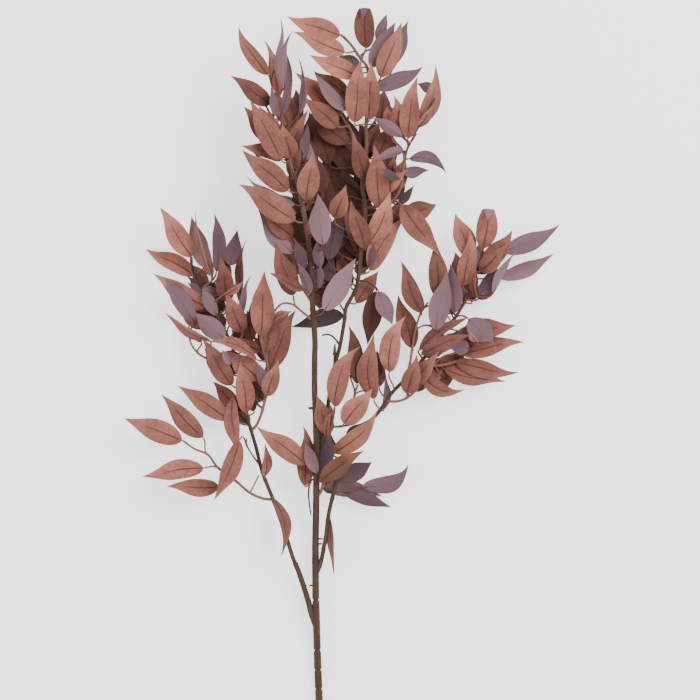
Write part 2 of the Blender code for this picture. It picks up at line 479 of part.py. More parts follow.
class Leaf:
    """One leaf: where its stalk starts, how the blade lies, and its true size."""

    def __init__(self, row, number, runs):
        self.node, self.face, self.seen_width = row[:3]
        self.number = number
        self.base_seen = Vector((row[3], row[4], 0.0)) * MM
        self.tip_seen = Vector((row[5], row[6], 0.0)) * MM
        self.bow = row[7] * MM
        self.level = row[8]
        self.folded = (row[3], row[4]) in FOLDED_BASES
        owners = [run for run in runs if run.node == self.node]
        touch = min((run.nearest(self.base_seen) for run in owners), key=lambda found: found[0])
        back = touch[1] - touch[2] * PETIOLE_SETBACK
        root = min((run.nearest(back) for run in owners), key=lambda found: found[0])
        self.root = root[1]
        self.root_way = root[2]

    def pose(self, shift, rise_factor):
        """Sets the leaf at a height above the carrying twig."""
        seen = (self.tip_seen - self.base_seen).length
        whole = max(0.5 * (seen + FULL_LENGTH), seen)
        rise = RISE_SHARE * math.sqrt(whole * whole - seen * seen) * rise_factor
        way = 1.0 if self.level >= 0 else -1.0
        self.base = self.base_seen.copy()
        self.base.z = self.root.z + LEVEL_STEP * self.level + shift
        axis = self.tip_seen - self.base_seen
        axis.z = rise * way
        self.length = 2.0 * axis.length / (FOLD_START + FOLD_END) if self.folded else axis.length
        self.axis = axis.normalized()
        self.left = Vector((0, 0, 1)).cross(self.axis).normalized()
        self.width = max(SLENDEREST * self.length, self.seen_width * MM)
        turn = math.acos(min(self.seen_width * MM / self.width, 1.0))
        if self.number % 2:
            turn = -turn
        if self.face == "mauve":
            turn = math.pi - turn
        over = self.axis.cross(self.left)
        self.across = self.left * math.cos(turn) + over * math.sin(turn)
        self.normal = over * math.cos(turn) - self.left * math.sin(turn)

    def half_width(self, share):
        """Half the blade's width at a share of its length: round at the base, drawn out at the tip."""
        fall = (1.0 - WIDEST_AT) * BASE_ROUNDNESS / WIDEST_AT
        near = (share / WIDEST_AT) ** BASE_ROUNDNESS
        return 0.5 * self.width * near * ((1.0 - share) / (1.0 - WIDEST_AT)) ** fall

    def blade_point(self, share, across, lift):
        """A point of the blade: along it, across it from -1 to 1, and off its middle surface."""
        hump = 4.0 * share * (1.0 - share)
        middle, normal = self.spine(share)
        middle = middle + self.left * (self.bow * hump) + self.normal * (ARCH * self.length * hump)
        half = self.half_width(share)
        return middle + self.across * (half * across) + normal * (FOLD * half * abs(across) + lift)

    def spine(self, share):
        """A point of the midrib before it is arched, and the upper face's direction there."""
        if not self.folded or share <= FOLD_START:
            return self.base + self.axis * (self.length * share), self.normal
        radius = (FOLD_END - FOLD_START) * self.length / FOLD_TURN
        turned = min(share - FOLD_START, FOLD_END - FOLD_START) * self.length / radius
        way = self.axis * math.cos(turned) + self.normal * math.sin(turned)
        normal = self.normal * math.cos(turned) - self.axis * math.sin(turned)
        point = self.base + self.axis * (self.length * FOLD_START + radius * math.sin(turned))
        point += self.normal * (radius * (1.0 - math.cos(turned)))
        return point + way * (max(share - FOLD_END, 0.0) * self.length), normal

    def stalk_point(self, share):
        """A point of the stalk, from the twig to the blade's base."""
        reach = STALK_BEND * (self.base - self.root).length
        bends = (self.root, self.root + self.root_way * reach, self.base - self.axis * reach, self.base)
        rest = 1.0 - share
        weights = (rest ** 3, 3 * rest * rest * share, 3 * rest * share * share, share ** 3)
        return sum((bend * weight for bend, weight in zip(bends, weights)), Vector())

    def stalk_frames(self, shares):
        """Middle, side and top of the stalk at each share, twisted as little as it can be from the blade."""
        way, top = self.axis, self.normal
        frames = []
        for share in reversed(shares):
            behind = min(share, 1.0 - STALK_STEP)
            here = (self.stalk_point(behind + STALK_STEP) - self.stalk_point(behind)).normalized()
            top = way.rotation_difference(here) @ top
            way = here
            frames.append((self.stalk_point(share), top.cross(way).normalized(), top))
        return frames[::-1]


def stalk_ring(frame, fatter):
    """Three corners round the stalk, named for the six of the blade's ring."""
    centre, side, top = frame
    radius = PETIOLE_RADIUS + fatter
    left = centre + side * radius - top * (0.5 * radius)
    right = centre - side * radius - top * (0.5 * radius)
    peak = centre + top * radius
    return (left, peak, right, right, left, left)


def blade_ring(leaf, share, fatter):
    """Six corners across the blade: left, middle and right of its upper face, then of its under face."""
    lift = 0.5 * BLADE_THICKNESS + fatter
    corners = [leaf.blade_point(share, across, lift) for across in (1, 0, -1)]
    corners += [leaf.blade_point(share, across, -lift) for across in (-1, 0, 1)]
    return tuple(corners)


def skin(rings):
    """A closed skin over rings of six corners, split alike on both faces."""
    mesh = bmesh.new()
    rows = [[mesh.verts.new(corner) for corner in ring] for ring in rings]
    for row, following in zip(rows, rows[1:]):
        for side in range(6):
            after = (side + 1) % 6
            corners = [row[side], row[after], following[after], following[side]]
            if side > 2:
                corners = corners[1:] + corners[:1]
            mesh.faces.new((corners[0], corners[1], corners[2]))
            mesh.faces.new((corners[0], corners[2], corners[3]))
    mesh.faces.new(rows[0])
    mesh.faces.new(rows[-1])
    bmesh.ops.remove_doubles(mesh, verts=mesh.verts, dist=WELD)
    bmesh.ops.triangulate(mesh, faces=mesh.faces)
    return facing_out(mesh)


def leaf_rings(leaf, fatter=0.0, with_stalk=True, with_blade=True):
    """The rings of a leaf's stalk, of its blade, or of both, made fatter to test for room."""
    shares = SMALL_SHARES if leaf.length < SMALL_LEAF else BLADE_SHARES
    if leaf.folded:
        shares = FOLDED_SHARES
    short = (leaf.base - leaf.root).length < SHORT_STALK
    frames = leaf.stalk_frames(SHORT_STALK_SHARES if short else STALK_SHARES)
    rings = [stalk_ring(frame, fatter) for frame in (frames if with_stalk else frames[-1:])]
    if with_blade:
        rings += [blade_ring(leaf, share, fatter) for share in shares]
        rings.append((leaf.blade_point(1.0, 0, 0) + leaf.axis * fatter,) * 6)
    return rings


class Body:
    """Something a leaf must stay clear of."""

    def __init__(self, mesh, node, kind):
        self.node = node
        self.kind = kind
        self.tree = BVHTree.FromBMesh(mesh)
        places = [vert.co for vert in mesh.verts]
        self.low = Vector(map(min, zip(*places)))
        self.high = Vector(map(max, zip(*places)))
        mesh.free()

    def near(self, other):
        return all(self.low[i] < other.high[i] and other.low[i] < self.high[i] for i in range(3))

    def meets(self, other):
        return self.near(other) and bool(self.tree.overlap(other.tree))


def clear_of(blade, stalk, bodies):
    """Whether a leaf meets nothing but the twigs that its stalk grows from."""
    for body in bodies:
        if blade.meets(body):
            return False
        if body.node == stalk.node and body.kind != "blade":
            continue
        if stalk.meets(body):
            return False
    return True


def shifts(level):
    """Heights to try, nearest first, away from the twig on the leaf's own side."""
    steps = [0.0]
    for step in range(1, MOST_SHIFTS):
        steps += [step * SHIFT_STEP, -step * SHIFT_STEP]
    return steps if level >= 0 else [-step for step in steps]


def parts_of(leaf, blade_fatter=0.0, stalk_fatter=0.0):
    blade = Body(skin(leaf_rings(leaf, blade_fatter, with_stalk=False)), leaf.node, "blade")
    stalk = Body(skin(leaf_rings(leaf, stalk_fatter, with_blade=False)), leaf.node, "stalk")
    return blade, stalk


def touch_down(leaf):
    """Lowers a leaf until its lowest point lies on the surface."""
    leaf.pose(0.0, 1.0)
    blade, stalk = parts_of(leaf)
    leaf.pose(-min(blade.low.z, stalk.low.z), 1.0)


def find_room(leaf, bodies):
    """Finds the first height at which the leaf is clear of everything laid before it."""
    for shift in shifts(leaf.level):
        for rise_factor in RISE_FACTORS:
            leaf.pose(shift, rise_factor)
            blade, stalk = parts_of(leaf, BLADE_CLEARANCE, STALK_CLEARANCE)
            if blade.low.z > BLADE_CLEARANCE and stalk.low.z > 0.0 and clear_of(blade, stalk, bodies):
                return
    raise RuntimeError(f"leaf {leaf.number} of {leaf.node} has no room")


def laid_leaves(runs):
    """Every leaf at its height: first those that touch the surface, then from the inner levels outwards."""
    bodies = [Body(run_mesh(run), run.node, "twig") for run in runs]
    leaves = [Leaf(row, number, runs) for number, row in enumerate(LEAVES)]
    for leaf in sorted(leaves, key=lambda each: (each.level > SURFACE_LEVEL, abs(each.level), each.number)):
        if leaf.level == SURFACE_LEVEL:
            touch_down(leaf)
        else:
            find_room(leaf, bodies)
        bodies += parts_of(leaf)
    return leaves


def material(name, colour, roughness, metallic=0.0):
    finish = bpy.data.materials.new(name)
    finish.use_nodes = True
    shader = finish.node_tree.nodes["Principled BSDF"]
    shader.inputs["Base Color"].default_value = colour
    shader.inputs["Roughness"].default_value = roughness
    shader.inputs["Metallic"].default_value = metallic
    return finish


def new_object(name, mesh):
    data = bpy.data.meshes.new(name)
    mesh.to_mesh(data)
    mesh.free()
    return bpy.data.objects.new(name, data)


def joined(name, meshes):
    """One closed body from tubes and leaves that grow into each other.

    The exact solver leaves open edges where thin stalks cross thin twigs, so the manifold one joins them.
    """
    helpers = bpy.data.collections.new(name + "_pieces")
    bpy.context.scene.collection.children.link(helpers)
    body = new_object(name, meshes[0])
    bpy.context.scene.collection.objects.link(body)
    for index, mesh in enumerate(meshes[1:]):
        helpers.objects.link(new_object(f"{name}_piece_{index}", mesh))
    if helpers.objects:
        join = body.modifiers.new("join", "BOOLEAN")
        join.operation = "UNION"
        join.solver = "MANIFOLD"
        join.operand_type = "COLLECTION"
        join.collection = helpers
        apply_modifiers(body)
    for helper in list(helpers.objects):
        bpy.data.objects.remove(helper)
    bpy.data.collections.remove(helpers)
    return body


def apply_modifiers(body):
    bpy.context.view_layer.update()
    graph = bpy.context.evaluated_depsgraph_get()
    data = bpy.data.meshes.new_from_object(body.evaluated_get(graph))
    body.modifiers.clear()
    old = body.data
    body.data = data
    bpy.data.meshes.remove(old)


def islands(mesh):
    """The separate shells of a mesh, largest first, as lists of faces."""
    left = set(mesh.faces)
    found = []
    while left:
        shell = [left.pop()]
        for face in shell:
            for edge in face.edges:
                for other in edge.link_faces:
                    if other in left:
                        left.remove(other)
                        shell.append(other)
        found.append(shell)
    return sorted(found, key=len, reverse=True)


def keep_outer_skin(body):
    """Fills the small hollows that joining seals, and drops loose scraps."""
    mesh = bmesh.new()
    mesh.from_mesh(body.data)
    for shell in islands(mesh)[1:]:
        bmesh.ops.delete(mesh, geom=shell, context="FACES")
    mesh.to_mesh(body.data)
    mesh.free()


def cut(body, cutter_mesh):
    """Takes a shape out of a body."""
    cutter = new_object(body.name + "_cutter", cutter_mesh)
    cutter.hide_render = True
    cutter.display_type = "WIRE"
    bpy.context.scene.collection.objects.link(cutter)
    away = body.modifiers.new("cut", "BOOLEAN")
    away.operation = "DIFFERENCE"
    away.solver = "MANIFOLD"
    away.object = cutter
    apply_modifiers(body)
    bpy.data.objects.remove(cutter)


def wire_mesh(runs, wider=0.0):
    """The wire along the axes of the lower and the centre stem, or the bore round it."""
    lower = next(run for run in runs if run.node == "lower_stem")
    centre = next(run for run in runs if run.node == "centre_stem")
    points = lower.points[:-1] + centre.points[1:1 + WIRE_POINTS]
    way = lower.first_way
    if wider:
        points[0] = points[0] - way * MM
        points[-1] = points[-1] + (points[-1] - points[-2]).normalized() * SEAT_GAP
    return tube_mesh(points, [WIRE_RADIUS + wider] * len(points), WIRE_SIDES, way)


def finished(body, name, colour, roughness, metallic=0.0):
    body.data.shade_smooth()
    body.data.set_sharp_from_angle(angle=ROUND_UNDER)
    body.data.materials.clear()
    body.data.materials.append(material(name, colour, roughness, metallic))


def make_stem(node, own, leaves, carrier, bore):
    """A stem or sprig with the leaves that grow from it, seated on its carrier."""
    if node == "lower_stem":
        points, radii = notched(own[0])
        meshes = [tube_mesh(points, radii, own[0].sides, own[0].first_way)]
    else:
        meshes = [run_mesh(own[0])]
    meshes += [run_mesh(run) for run in own[1:]]
    meshes += [skin(leaf_rings(leaf)) for leaf in leaves]
    body = joined(node, meshes)
    if carrier:
        cut(body, run_mesh(carrier, SEAT_GAP))
    if bore:
        cut(body, bore)
    keep_outer_skin(body)
    if leaves:
        finished(body, node + "_leaves", LEAF_ROSE, 0.75)
    else:
        finished(body, node + "_moulding", STEM_BROWN, 0.6)


def main():
    for old in list(bpy.data.objects):
        bpy.data.objects.remove(old)
    runs = laid_runs()
    leaves = laid_leaves(runs)
    for node in dict.fromkeys(run.node for run in runs):
        own = [run for run in runs if run.node == node]
        kind, carrier_name = next(row[1:3] for row in RUNS if row[0] == node)
        carrier = next(run for run in runs if run.node == carrier_name) if kind == "side" else None
        bore = wire_mesh(runs, BORE_GAP) if node in ("lower_stem", "centre_stem") else None
        make_stem(node, own, [leaf for leaf in leaves if leaf.node == node], carrier, bore)
    wire = new_object("stem_wire", wire_mesh(runs))
    bpy.context.scene.collection.objects.link(wire)
    finished(wire, "stem_wire", STEEL, 0.4, 1.0)


main()
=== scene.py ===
"""Dresses a willow spray of the made kind that lies on a surface. Metres, +Z up, stem along +Y.

Cloth leaves, moulded twigs and stems are laid on the same lines as the solids of the frame.
"""

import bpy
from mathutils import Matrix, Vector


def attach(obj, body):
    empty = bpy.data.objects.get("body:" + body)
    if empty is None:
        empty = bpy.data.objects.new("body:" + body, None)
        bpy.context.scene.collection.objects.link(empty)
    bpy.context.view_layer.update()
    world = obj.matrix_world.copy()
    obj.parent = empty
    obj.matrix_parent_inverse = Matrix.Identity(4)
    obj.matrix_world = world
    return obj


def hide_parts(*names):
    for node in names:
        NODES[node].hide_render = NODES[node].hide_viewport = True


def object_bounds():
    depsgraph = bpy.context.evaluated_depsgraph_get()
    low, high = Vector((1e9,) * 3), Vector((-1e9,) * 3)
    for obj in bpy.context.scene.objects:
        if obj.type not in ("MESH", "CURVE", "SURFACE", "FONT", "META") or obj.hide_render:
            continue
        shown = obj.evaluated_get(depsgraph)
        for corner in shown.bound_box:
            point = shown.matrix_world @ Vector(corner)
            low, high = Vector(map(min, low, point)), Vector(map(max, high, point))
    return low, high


bl_info = {
    "name": "Willow Spray",
    "version": (1, 0, 0),
    "blender": (4, 5, 0),
    "location": "3D View > Sidebar > Willow Spray",
    "description": "Cloth leaves, moulded stems, a pale floor and soft light for a willow spray",
    "category": "Add Mesh",
}

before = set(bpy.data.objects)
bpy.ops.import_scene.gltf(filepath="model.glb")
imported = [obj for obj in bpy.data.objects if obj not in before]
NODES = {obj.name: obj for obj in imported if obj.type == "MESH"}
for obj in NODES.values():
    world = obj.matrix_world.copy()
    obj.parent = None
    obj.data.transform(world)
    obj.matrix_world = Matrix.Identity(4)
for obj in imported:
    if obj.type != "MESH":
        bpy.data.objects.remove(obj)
CAD_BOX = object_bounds()

import bisect
import functools
import math

import bmesh
import bpy
from bpy.props import FloatProperty, FloatVectorProperty, PointerProperty
from mathutils import Matrix, Vector, geometry, noise
from mathutils.kdtree import KDTree

MM = 0.001

# How the frame's leaves and stems are made and lie. The cloth and the moulding follow them.
FULL_LENGTH = 84.0 * MM
WIDEST_AT = 0.383
BASE_ROUNDNESS = 0.62
SLENDEREST = 0.34
ARCH = 0.07
FOLD = 0.14
RISE_SHARE = 0.6
RISE_FACTORS = (1.0, 0.5, 1.5, -0.5)
LEVEL_STEP = 7.0 * MM
LOW = -4
SMALL_LEAF = 48.0 * MM
CHECKED_AT = 0.43
SMALL_CHECKED_AT = 0.58
SOLID_THICKNESS = 0.8 * MM
SOLID_SIDES = 8
FOUND_WITHIN = 0.05 * MM
SEAT_GAP = 0.3 * MM
PETIOLE_SETBACK = 5.0 * MM
STALK_BEND = 0.4
STALK_SLANT = 0.7

# A leaf's number times one of these is an angle, and its sine stands in for chance.
CHANCE_ANGLE = 12.9898
CURL_ANGLE = 78.233

# Single leaves, by the place of their base in millimetres. A folded tip bends over towards the leaf's upper
# face, and the tip of a sickle swings further sideways than on its solid.
FOLDED_BASES = ((186, 142), (34, 402))
FOLD_START = 0.70
FOLD_END = 0.78
FOLD_TURN = math.radians(125)
SICKLES = {(30, -169): -8.0 * MM}

# The cloth: its stations along and across, and how it gives.
STATIONS = 20
FOLD_STATIONS = (0.68, 0.70, 0.72, 0.74, 0.76, 0.78, 0.80)
ACROSS = (-1.0, -0.93, -0.78, -0.52, -0.28, -0.13, -0.06, 0.0, 0.06, 0.13, 0.28, 0.52, 0.78, 0.93, 1.0)
FOLD_SOFTNESS = 0.22
DRAWN_TIP = 0.42
DRAWN_FROM = 0.5
WAVE = 0.011
WAVES_ALONG = 1.3
WAVE_SHIFT = 0.2
SWAY = 0.02
CURL = 0.03
TIP_DROOP = 0.044
CREASE_DEPTH = 0.3 * MM
CREASE_HALF = 1.1 * MM
CREASE_STARTS = (0.0, 0.1)
CREASE_FADES = (0.62, 0.76)
RESTS_AT = 0.6 * MM

# Stalks, and the ribs that run on from them over the upper face.
STALK_SIDES = 8
STALK_RINGS = 7
STALK_RADIUS = 1.2 * MM
STALK_FLARE = 0.5 * MM
STALK_FLARE_REACH = 0.18
STALK_STAIN = 0.35
RIB_END = 0.66
RIB_RINGS = 8
RIB_RADIUS = 0.74 * MM
RIB_POINT = 0.2 * MM
RIB_LIFT = 0.35 * MM
RIB_LIFT_REACH = 0.15
RIB_STAIN_REACH = 0.35

# Stems and twigs. The relief is how far their ridges stand out, as a share of the radius.
BRANCH_SIDES = 16
TWIG_SIDES = 10
SMOOTH_STEP = 2.5 * MM
STEM_STEP = 4.0 * MM
TWIG_STEP = 2.2 * MM
KNOT = 0.34 * MM
KNOT_REACH = 2.0 * MM
END_ROUNDING = (0.55, 0.85)
BARK_FROM = 2.2 * MM
BARK_RELIEF = 0.05
TWIG_RELIEF = 0.07
RIDGES_ROUND = 1.7
RIDGE_LENGTH = 7.0 * MM
RIDGE_SHIFT = 7.0
FULLER = 0.4
FULLER_MOST = 0.55 * MM
COLLAR = 0.35 * MM
COLLAR_LENGTH = 2.6 * MM
COLLAR_EDGE = 0.4 * MM

# The rings where the lower stem is meant to snap: where each lies, and how deep it is cut. Millimetres.
NOTCHES = (-433.0, -408.0, -382.0, -316.5)
NOTCH_PROFILE = ((-2.6, 0.0), (-1.7, 0.25), (-0.9, 0.85), (-0.35, 1.15), (0.35, 1.15), (0.9, 0.85),
                 (1.7, 0.25), (2.6, 0.0))

# The beaded bud on the short twig of the rear stem: the run that it sits on, and its beads.
BUD_RUN = ("rear_stem", 3)
BEADS = 9
BEAD_CUTS = 2
BEAD_RADIUS = 1.3 * MM
BEAD_STEP = 1.7 * MM
BEAD_OFF = 1.9 * MM
BEAD_TURN = math.radians(137.5)

# The steel wire inside the stem, and how far it stands out of the cut end.
WIRE_RADIUS = 1.25 * MM
WIRE_SIDES = 20
WIRE_PROUD = 0.3 * MM

# Corners closer than the first are one, and faces that meet at more than the second keep a crisp edge.
WELD = 1e-7
SHARP_OVER = math.radians(48)

# How the leaves that the frame leaves out find room between the others. Steps in millimetres.
SEARCH_REACH = 50
SEARCH_STEP = 2
ROOM = 2.6 * MM
CROWD_GRID = (15, 7)
TRIAL_GRID = (11, 5)
LOWEST = 1.0 * MM
HIGHEST = CAD_BOX[1].z - 1.0 * MM

# What the meshes' corners carry for the materials.
PLACE = "leaf_place"
PAINTED_LIGHT_AND_HUE = "leaf_painted_light_and_hue"
WEAVE = "leaf_weave"
GRAIN = "tube_grain"
STAIN_AND_SHADE = "tube_stain_and_shade"

# How light each level of painted light and shade is, how dark a mauve leaf's stalk is at least, and how
# warm each hue is.
PAINTED_LIGHT_LEVELS = {-2: 0.38, -1: 0.66, 0: 1.0, 1: 1.38}
MAUVE_STALK = 0.55
HUES = {"rose": 0.0, "mauve": 0.0, "orange": 1.0, "brown": -1.0}

# Patterns of the materials. Noise: scale, detail, roughness. Grain: how the noise is squeezed along a tube.
# Band: where a mark starts and where it is full. Share: how strong it is. Light and roughness: from, to.
CLOUD_NOISE = (48.0, 2.0)
CLOUD_BAND = (0.3, 0.7)
CLOUD_LIGHT = (0.6, 1.4)
MOTTLE_NOISE = (240.0, 4.0, 0.65)
MOTTLE_BAND = (0.25, 0.75)
NAP_NOISE = (1300.0, 3.0, 0.7)
NAP_LIGHT = (0.8, 1.2)
LEAF_LIGHT = (1.0, 1.12)
# Painted light and shade: how much lighter one half of each leaf is painted than the other.
PAINTED_HALF_LIGHT = 0.1
CLOTH_ROUGHNESS = (0.72, 0.92)
CLOTH_BUMP = (0.35, 0.25 * MM)
WEFT_SHARE = 0.35
TWIG_NOISE = (800.0, 3.0, 0.6)
TWIG_GRAIN = (1.0, 1.0, 0.18)
TWIG_LIGHT = (0.72, 1.28)
TWIG_ROUGHNESS = (0.5, 0.7)
TWIG_BUMP = (0.4, 0.25 * MM)
TWIG_PATCH_NOISE = (70.0, 2.0)
TWIG_PATCH_BAND = (0.35, 0.65)
RIB_BAND = (0.25, 0.9)
STREAK_NOISE = (420.0, 5.0, 0.62)
STREAK_GRAIN = (1.0, 1.0, 0.1)
STREAK_SHARE = 0.7
SCAR_NOISE = (300.0, 4.0, 0.6)
SCAR_GRAIN = (1.0, 1.0, 0.45)
SCAR_BAND = (0.56, 0.7)
SCAR_SHARE = 0.6
BARK_PATCH_NOISE = (30.0, 3.0)
BARK_PATCH_BAND = (0.3, 0.7)
WORN_BAND = (0.52, 0.72)
WORN_SHARE = 0.55
BARK_LIGHT = (0.6, 1.4)
BARK_ROUGHNESS = (0.55, 0.8)
BARK_BUMP = (0.55, 0.5 * MM)
STEEL_NOISE = (2400.0, 2.0)
STEEL_GRAIN = (1.0, 1.0, 0.04)
STEEL_ROUGHNESS = (0.3, 0.55)
FIBRE_NOISE = (400.0, 3.0)
FIBRE_SHARE = 0.06
FIBRE_GREY = (0.7, 0.7, 0.7)
WHITE = (1.0, 1.0, 1.0)

# Marks on the cloth, in the same way: along the blade, across it from the rib to the edge, and in millimetres
# off the rib. The foot and the crease are painted shade, and the rib stain is partly painted shade. The upper
# stems are painted paler between two heights up the spray, in metres, as painted light against the leaves'
# shade.
ON_RIB_BAND = (0.55, 0.72)
TIP_BAND = (0.58, 0.76)
TIP_SHARE = 0.35
RIM_BAND = (0.93, 1.0)
RIM_SHARE = 0.35
RIM_UNDER_SHARE = 0.55
STAIN_AND_SHADE_BAND = (0.4, 2.2)
STAIN_AND_SHADE_SHARE = 0.3
FOOT_SHADE_BAND = (0.0, 0.22)
FOOT_SHADE_SHARE = 0.4
CREASE_SHADE_BAND = (0.2, 1.0)
CREASE_SHADE_SHARE = 0.3
UPPER_LIGHT_BAND = (0.1, 0.2)
UPPER_LIGHT_SHARE = 0.6

# The picture: what it spans on the surface, and where its middle lies.
PICTURE_WIDTH = 0.91
PICTURE_MIDDLE = (13.0 * MM, 9.75 * MM)
PICTURE_LEVEL = 55.0 * MM
SENSOR = 36.0

# The floor, and the soft lights: name, place, size and share of the key power.
FLOOR_HALF = 5.0
FLOOR_CUTS = 8
LIGHTS = (
    ("key_light", (1.2, 1.0, 2.2), 1.6, 1.0),
    ("fill_light", (-1.6, -0.6, 1.8), 1.8, 0.3),
)

# Each run: node, how it starts, carrier, height at its end, radius at both ends, points seen from above.
# A run starts from the floor, from the end of a node, from the side of a node, or on its own node.
# Millimetres.
RUNS = (
    ("lower_stem", "floor", "", 26.2, 4.5, 4.1,
     ((-27, -458), (-27.4, -444), (-28.8, -410), (-30.4, -360), (-31.8, -301), (-32, -266.2))),
    ("lower_stem", "own", "", 26.0, 3.6, 2.9,
     ((-32, -352), (-36.5, -337), (-42, -316), (-48, -297), (-54, -279), (-58.7, -268))),
    ("lower_stem", "own", "", 29.5, 2.6, 2.3,
     ((-31.5, -284), (-26.6, -272), (-22.6, -256), (-21.4, -249))),
    ("lower_stem", "own", "", 22.8, 1.0, 0.7, ((-33, -297), (-40, -297.5))),
    ("lower_stem", "own", "", 23.5, 1.0, 0.7, ((-48, -297), (-43.6, -297.2))),
    ("centre_stem", "end", "lower_stem", 70.5, 4.1, 2.9,
     ((-32, -241), (-31, -185), (-31, -107), (-33, -40), (-33, 0), (-32.5, 21), (-36, 72), (-37.5, 100),
      (-38, 120.2))),
    ("centre_stem", "own", "", 31.0, 1.0, 0.8, ((-32, -236), (-22.9, -236.4))),
    ("centre_stem", "own", "", 30.0, 1.0, 0.8, ((-32, -243), (-24.2, -242.8))),
    ("centre_stem", "own", "", 49.6, 1.7, 1.3, ((-32, -66), (-39.8, -66))),
    ("centre_stem", "own", "", 30.0, 1.0, 0.7,
     ((-31, -158), (-37.5, -160), (-41, -175), (-40, -190), (-38, -205))),
    ("centre_tip", "end", "centre_stem", 86.0, 2.9, 1.8,
     ((-40, 140), (-42, 160), (-44, 172), (-47, 190), (-50, 205), (-53, 220), (-60, 238))),
    ("left_branch", "end", "lower_stem.1", 38.0, 2.3, 1.3,
     ((-70, -234), (-80, -205), (-88, -183), (-101, -150), (-110, -115), (-120, -80), (-125, -52),
      (-130, -25), (-143, 21), (-160, 50), (-176, 80), (-186, 100), (-192, 113), (-194, 131))),
    ("left_branch", "own", "", 30.0, 1.0, 0.8, ((-103, -143), (-121, -116), (-122, -106))),
    ("right_branch", "end", "lower_stem.2", 40.0, 2.3, 1.3,
     ((-18.5, -234), (-15, -205), (-8, -175), (0, -145), (8, -108), (14, -93), (28, -88), (42, -80),
      (54, -66), (66, -48), (85, -28), (110, 0), (125, 20), (150, 52), (166, 80), (178, 112), (183, 125),
      (186, 142))),
    ("rear_stem", "side", "centre_stem", 52.0, 2.3, 1.7,
     ((-31, -158), (-27, -140), (-24, -112), (-18, -80), (-11, -29), (-5, -3), (0, 15), (5.7, 48), (8, 65),
      (21, 90), (24.5, 110), (27, 135), (30, 160), (33, 190), (29, 222), (29, 245), (34, 270), (34, 299))),
    ("rear_stem", "own", "", 46.0, 1.1, 0.8, ((0, 15), (-7, 25), (-15, 30), (-23, 29))),
    ("rear_stem", "own", "", 48.0, 1.0, 0.8, ((-7.5, -14), (-7.5, 0), (-7, 6))),
    ("rear_stem", "own", "", 48.5, 1.6, 1.2, ((-7.2, 3), (-7, 9), (-6.8, 13))),
    ("rear_stem", "own", "", 44.0, 1.2, 0.9, ((23, 100), (36, 99), (47, 91))),
    ("top_sprig", "end", "rear_stem", 58.0, 1.7, 1.2,
     ((36, 330), (38, 352), (35, 378), (27, 388), (14, 407), (2, 419))),
    ("top_sprig", "own", "", 62.0, 1.1, 0.8, ((28, 387), (33, 400))),
    ("top_sprig", "own", "", 52.0, 1.1, 0.8, ((38, 348), (47, 352), (52, 362))),
    ("left_inner_sprig", "side", "left_branch", 46.0, 1.6, 1.1,
     ((-116, -96), (-107, -85), (-98, -57), (-94, -30), (-95, -8), (-97, 5))),
    ("left_side_sprig", "side", "left_branch", 36.0, 1.3, 0.9,
     ((-136, -4), (-152, -7), (-180, 2), (-194, 18), (-197, 40))),
    ("lower_left_sprig", "side", "left_branch", 26.0, 1.6, 1.0,
     ((-87, -185), (-100, -184), (-118, -176), (-137, -160), (-160, -143), (-172, -127), (-190, -119),
      (-204, -109))),
    ("lower_left_sprig", "own", "", 28.0, 0.9, 0.7, ((-117, -176), (-106, -154))),
    ("arc_sprig", "side", "centre_stem", 60.0, 1.3, 0.9,
     ((-34, 47), (-50, 60), (-62, 69), (-75, 70), (-86, 60))),
    ("side_sprig", "side", "centre_stem", 74.0, 1.4, 0.9,
     ((-36, 70), (-46, 86), (-57, 104), (-59, 125), (-60, 138))),
    ("lower_centre_sprig", "side", "centre_stem", 60.0, 1.6, 1.0,
     ((-31, -184), (-24, -172), (-20, -150), (-20, -125), (-13, -100), (-9, -80), (-7, -66))),
    ("lower_centre_sprig", "own", "", 56.0, 1.2, 0.9,
     ((-11, -90), (5, -89), (18, -84), (17, -66), (19, -48), (23, -36))),
    ("right_side_sprig", "side", "right_branch", 54.0, 1.4, 0.9,
     ((84, -29), (90, -12), (94, 12), (97, 30), (101, 47), (106, 60), (114, 71))),
    ("right_side_sprig", "own", "", 56.0, 1.0, 0.8, ((98, 36), (110, 42), (121, 40))),
    ("right_low_sprig", "side", "right_branch", 48.0, 1.4, 0.9,
     ((60, -57), (75, -57), (88, -52), (100, -41), (106, -28))),
    ("right_outer_sprig", "side", "right_branch", 34.0, 1.4, 0.9,
     ((104, -6), (118, -10), (133, -10), (150, -6))),
    ("right_outer_sprig", "own", "", 38.0, 1.1, 0.8,
     ((120, -10), (136, 2), (152, 7), (164, 20))),
    ("upper_left_sprig", "end", "centre_tip", 92.0, 1.7, 1.0,
     ((-64, 252), (-70, 275), (-80, 300), (-90, 315), (-98, 330))),
    ("upper_left_sprig", "own", "", 96.0, 1.1, 0.8,
     ((-86, 309), (-88, 330), (-87, 345), (-91, 362))),
    ("upper_middle_sprig", "side", "rear_stem", 60.0, 1.4, 0.9,
     ((29, 240), (23, 258), (21, 280), (14, 296), (4, 311))),
    ("upper_right_sprig", "side", "rear_stem", 66.0, 1.5, 1.0,
     ((32, 194), (52, 197), (68, 203), (78, 220), (82, 245), (84, 268))),
    ("upper_right_sprig", "own", "", 70.0, 1.1, 0.8, ((83, 262), (90, 276), (99, 290))),
)
